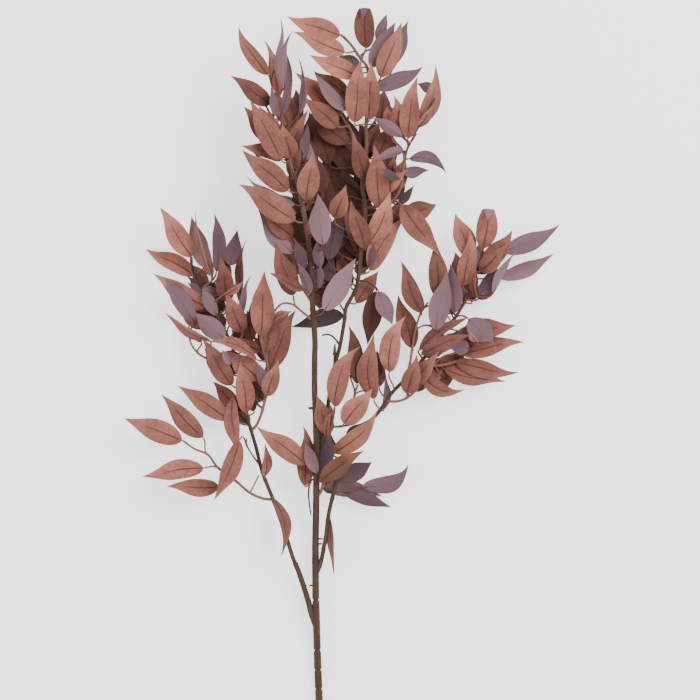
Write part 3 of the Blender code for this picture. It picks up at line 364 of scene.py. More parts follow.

# The leaves of each node: hue seen from above, width seen, blade base, tip, sideways bow, level and painted
# light. Millimetres. Mauve is the under face. A leaf of a higher level lies nearer the eye, and a leaf of a
# higher painted light level is painted paler, as painted light and shade of the whole leaf. The leaves keep
# their order, because a leaf's number decides its small differences.
LEAVES = (
    ("left_branch", (
        ("rose", 26, -146, -81, -212, -37, 0, 1, 0), ("rose", 24, -131, -108, -164, -186, 0, 2, 0),
        ("rose", 20, -140, -52, -133, -128, 0, 0, 0), ("rose", 22, -130, -70, -166, -31, 0, -1, -1),
        ("rose", 24, -122, -72, -129, -2, 0, 0, 0), ("rose", 28, -193, 131, -235, 196, 0, 1, 1),
        ("rose", 24, -190, 107, -254, 142, 0, LOW, 1), ("rose", 26, -174, 66, -243, 109, 0, 1, 1),
        ("mauve", 24, -178, 118, -193, 184, 0, 0, 0), ("rose", 9, -167, 106, -188, 191, 0, 1, 0),
        ("mauve", 19, -161, 112, -164, 188, 0, 0, 0), ("mauve", 22, -143, 120, -134, 168, 0, -1, 0),
        ("rose", 24, -146, 72, -156, 131, 0, 1, -1), ("rose", 11, -128, 68, -122, 153, 0, 0, -1),
        ("mauve", 12, -151, 80, -126, 98, 0, 2, 0), ("mauve", 8, -127, 52, -115, 107, 0, 1, 0),
        ("mauve", 14, -178, 88, -153, 82, 0, 2, 0), ("mauve", 16, -160, 55, -178, 92, 0, 1, 0),
        ("mauve", 12, -178, 84, -200, 98, 0, 2, 0), ("rose", 14, -172, 96, -192, 117, 0, -1, -1),
        ("mauve", 26, -150, 24, -188, 58, 0, 1, 0), ("rose", 14, -88, -183, -77, -260, 6, -1, -1),
        ("rose", 13, -98, -155, -97, -112, 0, 0, 0), ("rose", 26, -127, 33, -150, 85, 0, 0, 0),
        ("mauve", 14, -128, -2, -156, 7, 0, 1, 0), ("rose", 26, -141, -36, -180, 25, 0, 1, 0),
        ("rose", 20, -133, -20, -172, 14, 0, 0, -1), ("rose", 18, -116, 22, -122, 62, 0, -2, -1),
    )),
    ("left_side_sprig", (
        ("mauve", 24, -190, 47, -227, 104, 0, 2, 0), ("rose", 12, -170, 22, -227, 58, 0, 0, 0),
        ("rose", 10, -181, 20, -196, 38, 0, -1, -1),
    )),
    ("left_inner_sprig", (
        ("rose", 31, -102, 28, -98, 113, 0, 2, 0), ("rose", 15, -108, -3, -174, 20, -6, 2, 0),
        ("rose", 30, -106, -28, -146, 10, 0, 1, 0), ("rose", 24, -96, 8, -86, 62, 0, -1, -1),
        ("rose", 28, -91, -16, -57, 62, 0, 0, -1), ("rose", 22, -95, -50, -80, -2, 0, 1, 0),
        ("mauve", 16, -97, -42, -104, -8, 0, 0, 0), ("mauve", 16, -108, -60, -112, -20, 0, -1, -1),
        ("rose", 18, -104, 8, -138, 24, 0, -1, 0), ("rose", 14, -100, -4, -113, 28, 0, -2, -1),
        ("rose", 18, -107, -59, -97, -18, 0, -1, -1),
    )),
    ("lower_left_sprig", (
        ("rose", 30, -206, -108, -282, -79, 0, 1, 1), ("rose", 26, -179, -104, -233, -48, 0, 0, 0),
        ("rose", 26, -178, -144, -258, -155, 0, 1, 1), ("rose", 24, -158, -169, -226, -168, 0, 0, 0),
    )),
    ("arc_sprig", (
        ("rose", 28, -61, 81, -83, 150, 0, 0, -1), ("rose", 10, -88, 48, -62, 60, 0, 0, 0),
    )),
    ("side_sprig", (
        ("rose", 12, -50, 88, -91, 110, 0, -1, -1), ("mauve", 22, -62, 135, -106, 192, 0, 1, 0),
        ("rose", 24, -62, 157, -100, 187, 0, 0, -1), ("mauve", 20, -46, 121, -68, 165, 0, -1, 0),
        ("mauve", 14, -40, 82, -55, 122, 0, 1, 0),
    )),
    ("centre_stem", (
        ("mauve", 28, -20, 61, 21, 129, 0, 3, 1), ("mauve", 9, -29, 90, -28, 122, 0, 1, 0),
        ("rose", 28, -45, -138, -109, -89, 0, 2, 1), ("rose", 24, -46, -167, -48, -89, 0, 0, 0),
    )),
    ("centre_tip", (
        ("rose", 30, -67, 216, -127, 269, 0, 2, 0), ("rose", 32, -58, 177, -131, 224, 0, 3, 0),
        ("mauve", 12, -58, 198, -121, 235, 0, 2, 0), ("rose", 29, -44, 204, -34, 267, 0, 2, 0),
        ("rose", 14, -36, 159, -38, 184, 0, 1, 0),
    )),
    ("centre_stem", (
        ("mauve", 15, -26, 117, -30, 150, 0, 1, -1),
    )),
    ("centre_tip", (
        ("mauve", 22, -24, 146, -29, 213, 0, 1, -1),
    )),
    ("upper_left_sprig", (
        ("rose", 24, -63, 258, -74, 303, 0, 0, 0),
    )),
    ("centre_tip", (
        ("rose", 22, -56, 243, -41, 322, 6, 1, 0), ("mauve", 14, -44, 256, -42, 288, 0, -1, 0),
        ("mauve", 12, -66, 232, -113, 266, 0, 1, 0), ("rose", 20, -75, 258, -128, 274, 0, 0, 0),
    )),
    ("upper_left_sprig", (
        ("rose", 24, -90, 328, -142, 364, 0, 0, -1), ("rose", 30, -76, 256, -116, 333, 0, 3, 0),
        ("rose", 26, -88, 280, -125, 325, 0, 0, 0), ("brown", 20, -78, 278, -106, 326, 0, 1, 0),
        ("rose", 20, -62, 295, -66, 345, 0, -2, -2), ("mauve", 12, -76, 314, -70, 395, 0, 1, 0),
        ("mauve", 9, -72, 350, -61, 421, 0, 1, 0), ("mauve", 8, -86, 372, -77, 439, 0, 0, 0),
        ("rose", 20, -93, 366, -131, 428, 0, 0, 0), ("rose", 16, -80, 336, -98, 412, 0, 1, 0),
        ("mauve", 10, -79, 311, -86, 350, 0, 0, 0), ("mauve", 8, -53, 315, -53, 387, 0, 0, 0),
        ("mauve", 9, -50, 322, -41, 347, 0, -1, 0),
    )),
    ("upper_middle_sprig", (
        ("rose", 28, 2, 314, -59, 371, 0, 1, 0), ("mauve", 18, 10, 321, -33, 368, 0, 2, 0),
        ("rose", 26, -3, 300, -48, 338, 0, 0, 0), ("rose", 30, 10, 279, -42, 318, 0, -1, -1),
    )),
    ("rear_stem", (
        ("rose", 24, 21, 241, -22, 284, 0, -2, -1), ("rose", 20, 29, 214, -25, 262, 0, -3, -1),
        ("mauve", 24, 4, 56, -64, 40, 0, -1, -2), ("rose", 30, 52, 194, 44, 276, 0, 2, 0),
        ("rose", 28, 38, 150, 66, 216, -5, 2, 1), ("rose", 28, 39, 113, 84, 182, 5, 0, 1),
        ("rose", 20, 23, 137, 5, 205, 0, -1, -1), ("rose", 18, 20, 136, 0, 178, 0, -2, -1),
        ("rose", 22, 21, 71, 50, 113, 0, -1, -1), ("mauve", 16, 25, 108, 30, 132, 0, -1, -1),
        ("rose", 18, 0, 108, 12, 150, 0, -2, -1), ("mauve", 10, -19, 98, -3, 130, 0, -2, 0),
        ("mauve", 10, 38, 120, 42, 150, 0, 1, 0), ("mauve", 10, 30, 140, 66, 158, 0, -1, 0),
        ("mauve", 24, -15, 127, -2, 195, 0, 0, -1), ("mauve", 16, -2, 168, 6, 202, 0, -1, 0),
        ("orange", 24, -7, 181, 8, 224, 0, 3, 0), ("brown", 26, 47, 86, 36, 16, 0, -1, -2),
        ("mauve", 22, 50, 86, 68, 42, 0, 1, 0), ("rose", 20, 37, 268, 50, 306, 0, -1, -1),
    )),
    ("top_sprig", (
        ("rose", 31, 19, 305, 28, 387, 0, 3, 0), ("rose", 28, 38, 309, 40, 384, 0, 1, 0),
        ("rose", 27, 0, 418, -69, 443, 0, 1, 1), ("rose", 26, 6, 396, -61, 422, 0, 2, 1),
        ("rose", 26, 22, 366, -40, 393, 0, 1, 1), ("rose", 27, 34, 402, 32, 456, 0, 0, -1),
        ("mauve", 26, 40, 377, 72, 435, 0, 1, 0), ("mauve", 14, 50, 410, 61, 445, 0, 0, 0),
        ("orange", 28, 53, 364, 80, 436, 0, 2, 0), ("mauve", 20, 70, 380, 89, 437, 0, 0, 0),
        ("mauve", 22, 46, 350, 108, 378, 0, 1, 0), ("mauve", 14, 24, 376, 2, 394, 0, -1, -1),
    )),
    ("upper_right_sprig", (
        ("rose", 24, 84, 286, 70, 339, 0, 0, 0), ("rose", 16, 66, 290, 62, 328, 0, -1, 0),
        ("mauve", 16, 80, 286, 42, 310, 0, 2, 0), ("rose", 26, 88, 284, 101, 364, 0, 1, 0),
        ("rose", 22, 99, 300, 124, 380, -6, 0, 0), ("rose", 9, 101, 299, 121, 327, 0, -1, 0),
        ("mauve", 12, 83, 268, 43, 255, 0, 1, 0), ("mauve", 16, 90, 258, 138, 239, 8, 0, 0),
        ("mauve", 16, 84, 240, 117, 244, 0, -1, -1), ("orange", 22, 50, 214, 86, 244, 0, 1, 0),
        ("rose", 26, 47, 258, 66, 300, 0, -1, -1), ("rose", 12, 68, 240, 70, 262, 0, 0, 0),
        ("rose", 30, 80, 198, 129, 132, 0, 1, 0), ("rose", 26, 82, 184, 126, 200, 0, -1, -1),
        ("mauve", 10, 74, 200, 96, 224, 0, 0, -1),
    )),
    ("lower_centre_sprig", (
        ("mauve", 16, -29, -150, -45, -110, 0, 1, 0), ("mauve", 18, -26, -150, -13, -98, 0, 0, -2),
        ("brown", 24, -26, -160, 32, -121, 0, 1, -1), ("rose", 24, -14, -100, -31, -48, 0, -1, -1),
        ("rose", 10, -18, -105, -9, -70, 0, 1, -1), ("rose", 30, 5, -86, 42, -40, 0, 2, 1),
        ("rose", 28, -7, -64, 26, 14, 8, 1, 0), ("brown", 22, 22, -34, 11, 42, 0, -1, -2),
        ("mauve", 22, -22, -170, 56, -182, 0, -1, 0),
    )),
    ("right_branch", (
        ("orange", 26, -9, -124, 48, -70, -5, 2, 0), ("mauve", 24, 0, -160, 42, -136, 0, 0, -1),
        ("mauve", 24, 30, -169, 89, -138, -8, 0, 0), ("mauve", 20, 5, -176, 67, -195, 0, -1, -1),
        ("rose", 9, -13, -209, -8, -284, 5, 0, 0), ("rose", 28, 44, -54, 44, 31, 7, 1, 0),
        ("rose", 28, 64, -19, 86, 54, 9, 2, 1), ("rose", 14, 51, -38, 55, -5, 0, -1, -1),
        ("mauve", 10, 57, -68, 60, -22, 0, 0, 0), ("rose", 15, 103, 10, 168, 53, 0, 1, -1),
        ("rose", 20, 106, 4, 172, 29, 6, 2, -1), ("rose", 16, 146, 55, 146, 90, 0, -1, 0),
        ("mauve", 20, 149, 58, 143, 122, 0, 0, 0), ("mauve", 30, 167, 50, 198, 20, 0, 2, 0),
        ("rose", 28, 160, 34, 229, 42, 0, 1, 0), ("rose", 28, 170, 130, 150, 188, 0, 2, 1),
        ("rose", 24, 160, 93, 168, 166, 0, 0, 1), ("rose", 28, 186, 142, 194, 196, 0, 1, 1),
        ("rose", 26, 190, 118, 224, 166, 0, 0, 0), ("rose", 24, 183, 112, 217, 146, 0, 1, 0),
        ("mauve", 24, 212, 138, 286, 173, 0, 0, 0), ("mauve", 10, 200, 84, 230, 138, 0, 0, 0),
        ("mauve", 20, 207, 104, 280, 136, 0, LOW, 0), ("rose", 22, 180, 76, 204, 104, 0, -1, -1),
        ("mauve", 20, 182, 82, 212, 118, 0, -2, -1), ("rose", 10, 177, 77, 176, 128, 0, 0, 0),
        ("mauve", 14, 178, 118, 172, 152, 0, -1, 0),
    )),
    ("right_side_sprig", (
        ("rose", 24, 106, 58, 79, 126, 0, 1, -1), ("rose", 26, 95, 12, 76, 82, 0, 0, -1),
        ("mauve", 28, 124, 36, 138, 112, 0, 2, 0), ("rose", 26, 128, 78, 124, 153, 0, 0, -1),
    )),
    ("right_low_sprig", (
        ("rose", 24, 87, -47, 100, 4, 0, 1, 0), ("rose", 24, 88, -40, 128, 8, 0, 0, 0),
        ("rose", 22, 100, -38, 140, -8, 0, -1, 0), ("rose", 20, 105, -20, 163, -41, -10, 1, 0),
    )),
    ("right_outer_sprig", (
        ("rose", 24, 160, 4, 240, 20, 0, 1, 0), ("rose", 22, 151, -5, 233, -19, 0, 0, 0),
        ("rose", 22, 135, -14, 216, -32, -8, -1, 0), ("rose", 16, 130, -9, 165, 5, 0, -1, -1),
        ("mauve", 20, 168, 12, 140, 16, 0, 2, 0), ("mauve", 20, 172, 30, 147, 32, 0, 1, 0),
    )),
)

# Further leaves, read from the photograph in the same way, that the frame leaves out. Each grows on the
# nearest twig.
MORE_LEAVES = (
    # upper left sprigs
    ("rose", 22, -76, 262, -96, 318, 0, -1, -1), ("rose", 22, -62, 252, -76, 306, 0, -1, -1),
    ("rose", 22, -66, 300, -84, 345, 0, -1, -1), ("mauve", 14, -84, 318, -90, 352, 0, -1, 0),
    ("brown", 20, -56, 300, -58, 350, 0, -1, -2), ("rose", 24, -50, 262, -62, 310, 0, -2, -2),
    ("mauve", 12, -43, 262, -42, 302, 0, 1, -1),
    # between the centre and the rear stem
    ("rose", 24, -22, 214, -38, 270, 0, -1, -2), ("rose", 24, -34, 244, -50, 292, 0, -2, -2),
    ("rose", 26, -14, 252, -30, 306, 0, -1, -2), ("rose", 24, -10, 222, -14, 282, 0, -2, -2),
    ("brown", 26, 28, 238, -20, 282, 0, -1, -2), ("rose", 26, 26, 214, -26, 250, 0, -1, -2),
    ("brown", 24, 24, 198, -20, 236, 0, -2, -2), ("rose", 24, 22, 262, 4, 322, 0, -2, -2),
    ("rose", 24, 4, 292, -26, 338, 0, -1, -2), ("rose", 24, 12, 338, -34, 374, 0, -1, -1),
    ("mauve", 16, 14, 328, 6, 356, 0, -2, -2), ("brown", 22, 26, 372, -2, 396, 0, -2, -1),
    ("rose", 26, 42, 320, 36, 374, 0, -1, 0), ("rose", 22, 52, 306, 58, 350, 0, -1, -1),
    ("brown", 24, 46, 262, 24, 306, 0, -2, -2), ("brown", 24, 32, 256, 46, 312, 0, -2, -2),
    ("brown", 22, 18, 262, 10, 304, 0, -1, -2), ("rose", 22, 60, 240, 68, 292, 0, -1, -1),
    ("rose", 24, 80, 294, 76, 336, 0, -1, -1), ("rose", 22, 68, 290, 62, 332, 0, -1, -1),
    ("rose", 11, 99, 298, 121, 327, 0, 0, 0), ("mauve", 15, 119, 350, 100, 357, 0, -1, -1),
    # right of the rear stem
    ("brown", 24, 44, 212, 34, 262, 0, -2, -2), ("rose", 24, 66, 204, 52, 246, 0, -1, -1),
    ("rose", 22, 70, 214, 86, 260, 0, -1, -1), ("mauve", 11, 76, 232, 55, 244, 0, 1, -2),
    ("brown", 22, 74, 205, 74, 240, 0, -2, -2), ("brown", 24, 38, 158, 34, 214, 0, -2, -2),
    ("rose", 20, 70, 170, 78, 208, 0, -1, -1), ("rose", 18, 36, 150, 68, 178, 0, -1, -1),
    ("rose", 24, 28, 172, 12, 226, 0, -1, -1),
    # either side of the centre stem
    ("brown", 20, -50, 150, -68, 198, 0, -2, -2), ("brown", 18, -48, 182, -60, 226, 0, -2, -2),
    ("mauve", 20, -54, 190, -88, 216, 0, -1, -1), ("rose", 16, -52, 134, -80, 178, 0, -1, 0),
    ("rose", 16, -40, 198, -34, 242, 0, -1, -1), ("brown", 20, -36, 150, -32, 204, 0, -2, -2),
    ("brown", 20, -38, 196, -26, 236, 0, -2, -2), ("brown", 22, -46, 226, -70, 262, 0, -2, -2),
    ("mauve", 28, -20, 146, -27, 208, 0, -1, 0), ("mauve", 24, -4, 142, 4, 196, 0, -1, -1),
    ("brown", 24, 0, 128, -18, 176, 0, -2, -2), ("rose", 22, 14, 138, -4, 180, 0, -2, -2),
    ("rose", 22, -58, 108, -74, 152, 0, -1, -1), ("mauve", 16, -48, 112, -58, 152, 0, 1, -1),
    ("brown", 18, -44, 104, -64, 146, 0, -2, -2), ("mauve", 16, -36, 84, -50, 130, 0, -1, -1),
    ("brown", 22, -28, 84, -42, 124, 0, -2, -2), ("rose", 13, -48, 88, -91, 110, 4, 2, -1),
    ("brown", 22, -14, 80, -28, 128, 0, -2, -2), ("rose", 26, -27, 64, -16, 114, 0, -1, -1),
    ("mauve", 18, -18, 100, -6, 132, 0, -2, -2), ("brown", 22, -2, 108, -10, 150, 0, -2, -2),
    ("brown", 22, 20, 122, 6, 162, 0, -2, -2), ("mauve", 14, 32, 118, 42, 152, 0, -2, -2),
    ("brown", 18, 14, 92, 0, 128, 0, -2, -2),
    # left branch
    ("brown", 18, -172, 92, -196, 122, 0, -1, -1), ("mauve", 16, -176, 84, -200, 106, 0, -1, -1),
    ("mauve", 15, -158, 82, -174, 98, 0, 0, -1), ("rose", 15, -166, 106, -178, 152, 0, -1, 0),
    ("brown", 14, -152, 116, -154, 152, 0, -1, -2), ("rose", 18, -146, 96, -156, 138, 0, -1, -1),
    ("rose", 8, -152, 81, -125, 99, 0, 2, 1), ("brown", 22, -150, 62, -178, 84, 0, -2, -2),
    ("brown", 22, -164, 44, -192, 68, 0, -2, -2), ("rose", 24, -170, 62, -206, 92, 0, -2, -1),
    ("mauve", 18, -150, 40, -180, 74, 0, -1, -1), ("rose", 20, -176, 38, -208, 62, 0, -1, -1),
    ("brown", 22, -114, 22, -130, 62, 0, -2, -2), ("rose", 20, -104, 18, -86, 62, 0, -1, -2),
    ("brown", 22, -118, 8, -142, 36, 0, -2, -2), ("rose", 24, -102, 30, -116, 72, 0, -2, -2),
    ("rose", 22, -150, -22, -178, 12, 0, -1, -1), ("mauve", 10, -141, -8, -152, 10, 0, 2, 1),
    ("brown", 24, -140, -22, -168, 4, 0, -2, -2), ("rose", 22, -108, -38, -134, -2, 0, -1, -1),
    ("brown", 20, -106, -52, -116, -18, 0, -1, -1), ("rose", 20, -118, -88, -144, -60, 0, -1, -1),
    ("rose", 18, -94, -32, -84, 2, 0, -1, -1), ("rose", 18, -112, -70, -126, -38, 0, -1, -1),
    ("rose", 16, -88, 28, -66, 58, 0, -1, 0),
    # right branch
    ("rose", 22, 160, 92, 150, 138, 0, -1, -1), ("mauve", 20, 158, 76, 142, 116, 0, -1, -1),
    ("mauve", 16, 164, 74, 158, 104, 0, -1, -2), ("mauve", 20, 176, 112, 184, 152, 0, -1, -1),
    ("brown", 16, 172, 72, 177, 118, 0, -1, -1), ("rose", 20, 182, 114, 208, 150, 0, -1, -1),
    ("brown", 18, 178, 110, 208, 130, 0, -1, -2), ("rose", 11, 140, 56, 142, 86, 0, -1, 0),
    ("mauve", 20, 122, 48, 136, 100, 0, -1, -1), ("rose", 24, 106, -30, 140, 4, 0, -1, -1),
    ("rose", 22, 112, 0, 142, 30, 0, -1, -1), ("brown", 20, 128, 12, 162, 32, 0, -2, -2),
    ("rose", 24, 116, -34, 152, -24, 0, -1, -1), ("rose", 20, 96, -44, 122, -14, 0, -1, -1),
    ("brown", 24, 150, 12, 186, 32, 0, -2, -2), ("rose", 24, 160, 8, 202, 22, 0, -1, -1),
    ("brown", 22, 140, -14, 176, -6, 0, -2, -2), ("rose", 22, 164, 22, 192, 46, 0, -1, -1),
    ("orange", 8, 178, 20, 168, 34, 0, 1, 0), ("rose", 24, 130, -20, 164, -6, 0, -1, -1),
    ("brown", 20, 44, -36, 48, 10, 0, -2, -2), ("brown", 18, 14, -20, 24, 16, 0, -2, -2),
    # lower centre
    ("brown", 18, -20, -122, -28, -76, 0, -2, -2), ("mauve", 14, -14, -132, -13, -96, 0, -1, -1),
    ("mauve", 20, -22, -172, 12, -158, 0, -1, -1), ("brown", 22, -22, -160, 10, -134, 0, -2, -2),
    ("brown", 14, -16, -90, -12, -62, 0, -1, -1),
    # in the gaps between those above
    ("brown", 26, -14, 188, -26, 244, 0, -2, -2), ("brown", 18, -46, 130, -57, 180, 0, -2, -2),
    ("brown", 16, -49, 166, -53, 212, 0, -2, -2), ("brown", 16, -53, 205, -62, 250, 0, -2, -2),
    ("brown", 24, -36, 262, -40, 322, 0, -2, -2), ("rose", 20, -66, 268, -70, 322, 0, -2, -1),
    # low and dark, behind the gaps that are left beside the two stems
    ("rose", 30, -38, 225, -50, 285, 0, -2, -2), ("rose", 30, -36, 170, -50, 232, 0, -2, -2),
    ("rose", 30, -34, 130, -50, 190, 0, -2, -2), ("mauve", 30, -15, 100, -30, 160, 0, -2, -2),
    ("rose", 30, 38, 200, 24, 265, 0, -2, -2), ("rose", 28, 10, 245, -8, 300, 0, -2, -2),
    ("rose", 28, 36, 118, 26, 180, 0, -2, -2),
    # across the rear stem
    ("rose", 24, 36, 228, 14, 290, 0, 1, -1), ("rose", 24, 33, 142, 14, 205, 0, 2, -1),
    ("mauve", 28, -22, 146, -29, 212, 0, 2, 0),
)


def eased(value, low, high):
    """0 below low, 1 above high, and a soft step in between."""
    share = min(max((value - low) / (high - low), 0.0), 1.0)
    return share * share * (3.0 - 2.0 * share)


class Line:
    """The axis of a stem or twig: points along it, with a radius at each."""

    def __init__(self, node, points, radii, first_way):
        self.node = node
        self.points = points
        self.radii = radii
        self.first_way = first_way
        self.far = [0.0]
        for before, after in zip(points, points[1:]):
            self.far.append(self.far[-1] + (after - before).length)

    def way(self, index):
        """Direction at a point, halfway between the stretches that meet there."""
        before = self.points[max(index - 1, 0)]
        after = self.points[min(index + 1, len(self.points) - 1)]
        return self.first_way if index == 0 else (after - before).normalized()

    def nearest(self, place):
        """Distance seen from above to the axis, the point on it and the direction there."""
        best = None
        for index in range(len(self.points) - 1):
            start = self.points[index]
            stretch = self.points[index + 1] - start
            share = (place - start).xy.dot(stretch.xy) / stretch.xy.length_squared
            point = start + stretch * min(max(share, 0.0), 1.0)
            gap = (point - place).xy.length
            if best is None or gap < best[0]:
                best = (gap, point, stretch.normalized())
        return best

    def at(self, distance):
        """The point and the radius at a distance along."""
        index = min(max(bisect.bisect_right(self.far, distance) - 1, 0), len(self.points) - 2)
        share = (distance - self.far[index]) / (self.far[index + 1] - self.far[index])
        radius = self.radii[index] + (self.radii[index + 1] - self.radii[index]) * share
        return self.points[index].lerp(self.points[index + 1], share), radius


def nearest_of(lines, node, place):
    """The nearest place on the lines of a node, as Line.nearest gives it."""
    return min((line.nearest(place) for line in lines if line.node == node), key=lambda found: found[0])


def shares_seen(points):
    """How far along each point lies, seen from above, as a share of the whole."""
    far = [0.0]
    for before, after in zip(points, points[1:]):
        far.append(far[-1] + (after - before).xy.length)
    return [distance / far[-1] for distance in far]


def carrier_line(carrier):
    """The node of the line that carries a run on, and the line's number there."""
    name, _, number = carrier.partition(".")
    return name, int(number or 0)


def solid_lines():
    """The axes of the frame's stems and twigs with their heights, each starting on what carries it."""
    lines = []
    for node, kind, carrier, end_height, first, last, places in RUNS:
        points = [Vector((x, y, 0.0)) * MM for x, y in places]
        first_way = None
        if kind == "floor":
            height = first * MM * math.cos(math.pi / SOLID_SIDES)
        elif kind == "end":
            name, number = carrier_line(carrier)
            parent = [line for line in lines if line.node == name][number]
            first_way = parent.way(len(parent.points) - 1)
            points.insert(0, parent.points[-1] + first_way * SEAT_GAP)
            height = points[0].z
        else:
            touch = nearest_of(lines, carrier or node, points[0])
            points[0] = touch[1].copy()
            height = touch[1].z
        radii = []
        for point, share in zip(points, shares_seen(points)):
            point.z = height + (end_height * MM - height) * share
            radii.append((first + (last - first) * share) * MM)
        if kind == "floor":
            points[1].z = height
        lines.append(Line(node, points, radii, first_way or (points[1] - points[0]).normalized()))
    return lines


def smooth_line(line, start):
    """The same axis without corners, from a given start."""
    points = [start]
    radii = [line.radii[0]]
    for index in range(len(line.points) - 1):
        knot, following = points[-1], line.points[index + 1]
        pull = (following - knot).length / 3.0
        steps = max(2, math.ceil(3.0 * pull / SMOOTH_STEP))
        handle = knot + line.way(index) * pull
        next_handle = following - line.way(index + 1) * pull
        points += geometry.interpolate_bezier(knot, handle, next_handle, following, steps + 1)[1:]
        change = line.radii[index + 1] - line.radii[index]
        radii += [line.radii[index] + change * step / steps for step in range(1, steps + 1)]
    radii = [radius + min(FULLER * radius, FULLER_MOST) for radius in radii]
    for point, radius in zip(points, radii):
        point.z = max(point.z, radius * (1.0 + BARK_RELIEF))
    return Line(line.node, points, radii, line.first_way)


def smooth_lines(lines):
    """Every axis without corners, each side twig still starting on the middle of what carries it."""
    smooth = []
    for line, (node, kind, carrier, *_) in zip(lines, RUNS):
        start = line.points[0]
        if kind in ("side", "own"):
            start = nearest_of(smooth, carrier or node, start)[1]
        smooth.append(smooth_line(line, start))
    return smooth


class Leaf:
    """One leaf: where its stalk starts, how the blade lies, its true size and its painted light and shade."""

    def __init__(self, row, number, lines):
        self.node, self.hue, self.seen_width, base_x, base_y, tip_x, tip_y, bow, self.level, self.painted_light = row
        self.number = number
        self.base_seen = Vector((base_x, base_y, 0.0)) * MM
        self.tip_seen = Vector((tip_x, tip_y, 0.0)) * MM
        self.bow = bow * MM
        self.folded = (base_x, base_y) in FOLDED_BASES
        self.sickle = SICKLES.get((base_x, base_y), 0.0)
        self.chance = math.sin(number * CHANCE_ANGLE)
        self.curl = math.sin(number * CURL_ANGLE)
        self.take_root(lines)

    def take_root(self, lines, slant=0.0):
        """Finds where the stalk leaves its twig: behind the blade, and more so if the blade is far off."""
        touch = nearest_of(lines, self.node, self.base_seen)
        far = max(touch[0] - PETIOLE_SETBACK, 0.0)
        root = nearest_of(lines, self.node, touch[1] - touch[2] * (PETIOLE_SETBACK + slant * far))
        self.root, self.root_way = root[1:]

    def pose(self, shift, rise_factor):
        """Sets the leaf at a height above the carrying twig."""
        seen = (self.tip_seen - self.base_seen).length
        whole = max(0.5 * (seen + FULL_LENGTH), seen)
        rise = RISE_SHARE * math.sqrt(whole * whole - seen * seen) * rise_factor
        self.base = self.base_seen.copy()
        self.base.z = self.root.z + LEVEL_STEP * self.level + shift
        axis = self.tip_seen - self.base_seen
        axis.z = rise if self.level >= 0 else -rise
        self.length = 2.0 * axis.length / (FOLD_START + FOLD_END) if self.folded else axis.length
        self.axis = axis.normalized()
        self.left = Vector((0, 0, 1)).cross(self.axis).normalized()
        self.width = max(SLENDEREST * self.length, self.seen_width * MM)
        turn = math.acos(min(self.seen_width * MM / self.width, 1.0))
        if self.number % 2:
            turn = -turn
        if self.hue == "mauve":
            turn = math.pi - turn
        over = self.axis.cross(self.left)
        self.across = self.left * math.cos(turn) + over * math.sin(turn)
        self.normal = over * math.cos(turn) - self.left * math.sin(turn)

    def half_width(self, share):
        """Half the blade's width at a share of its length: round at the base, drawn out at the tip."""
        fall = (1.0 - WIDEST_AT) * BASE_ROUNDNESS / WIDEST_AT
        near = (share / WIDEST_AT) ** BASE_ROUNDNESS
        return 0.5 * self.width * near * ((1.0 - share) / (1.0 - WIDEST_AT)) ** fall

    def spine(self, share):
        """A point of the midrib before it is arched, and the upper face's direction there."""
        if not self.folded or share <= FOLD_START:
            return self.base + self.axis * (self.length * share), self.normal
        radius = (FOLD_END - FOLD_START) * self.length / FOLD_TURN
        turned = min(share - FOLD_START, FOLD_END - FOLD_START) * self.length / radius
        way = self.axis * math.cos(turned) + self.normal * math.sin(turned)
        normal = self.normal * math.cos(turned) - self.axis * math.sin(turned)
        point = self.base + self.axis * (self.length * FOLD_START + radius * math.sin(turned))
        point += self.normal * (radius * (1.0 - math.cos(turned)))
        return point + way * (max(share - FOLD_END, 0.0) * self.length), normal

    def solid_point(self, share, across, lift):
        """A point of the frame's plain blade: along it, across it from -1 to 1, and off its middle."""
        hump = 4.0 * share * (1.0 - share)
        middle, normal = self.spine(share)
        middle = middle + self.left * (self.bow * hump) + self.normal * (ARCH * self.length * hump)
        half = self.half_width(share)
        return middle + self.across * (half * across) + normal * (FOLD * half * abs(across) + lift)

    def cloth_point(self, share, across, lift):
        """A point of the finished blade, with a soft fold, pressed crease, waved edge and drawn out tip."""
        hump = 4.0 * share * (1.0 - share)
        middle, normal = self.spine(share)
        sway = (self.bow + self.sickle * share + SWAY * self.length * self.chance * share) * hump
        sway += CURL * self.length * self.curl * math.sin(2.0 * math.pi * share) * share
        middle = middle + self.left * sway + self.normal * (ARCH * self.length * hump)
        half = self.half_width(share) * (1.0 - DRAWN_TIP * eased(share, DRAWN_FROM, 1.0))
        soft = math.hypot(across, FOLD_SOFTNESS) - FOLD_SOFTNESS
        turn = 2.0 * math.pi * (WAVES_ALONG * share + self.chance + WAVE_SHIFT * math.copysign(1.0, across))
        rise = FOLD * half * soft
        rise += WAVE * self.length * across * across * math.sin(turn) * math.sin(math.pi * share)
        rise -= TIP_DROOP * self.length * self.chance * eased(share, RIB_END, 1.0) * (1.0 - share)
        pressed = math.exp(-((across * half / CREASE_HALF) ** 2))
        rise -= CREASE_DEPTH * pressed * eased(share, *CREASE_STARTS) * (1.0 - eased(share, *CREASE_FADES))
        cloth = middle + self.across * (half * across) + normal * rise
        cloth.z = max(cloth.z, RESTS_AT)
        return cloth + normal * lift

    def samples(self, along, across):
        """Points spread over the blade, between its base and its tip."""
        shares = [(step + 0.5) / along for step in range(along)]
        sides = [2.0 * (step + 0.5) / across - 1.0 for step in range(across)]
        return [self.cloth_point(share, side, 0.0) for share in shares for side in sides]

    def stalk_point(self, share):
        """A point of the stalk, from the twig to the blade's base."""
        reach = STALK_BEND * (self.base - self.root).length
        bends = (self.root, self.root + self.root_way * reach, self.base - self.axis * reach, self.base)
        rest = 1.0 - share
        weights = (rest ** 3, 3 * rest * rest * share, 3 * rest * share * share, share ** 3)
        return sum((bend * weight for bend, weight in zip(bends, weights)), Vector())


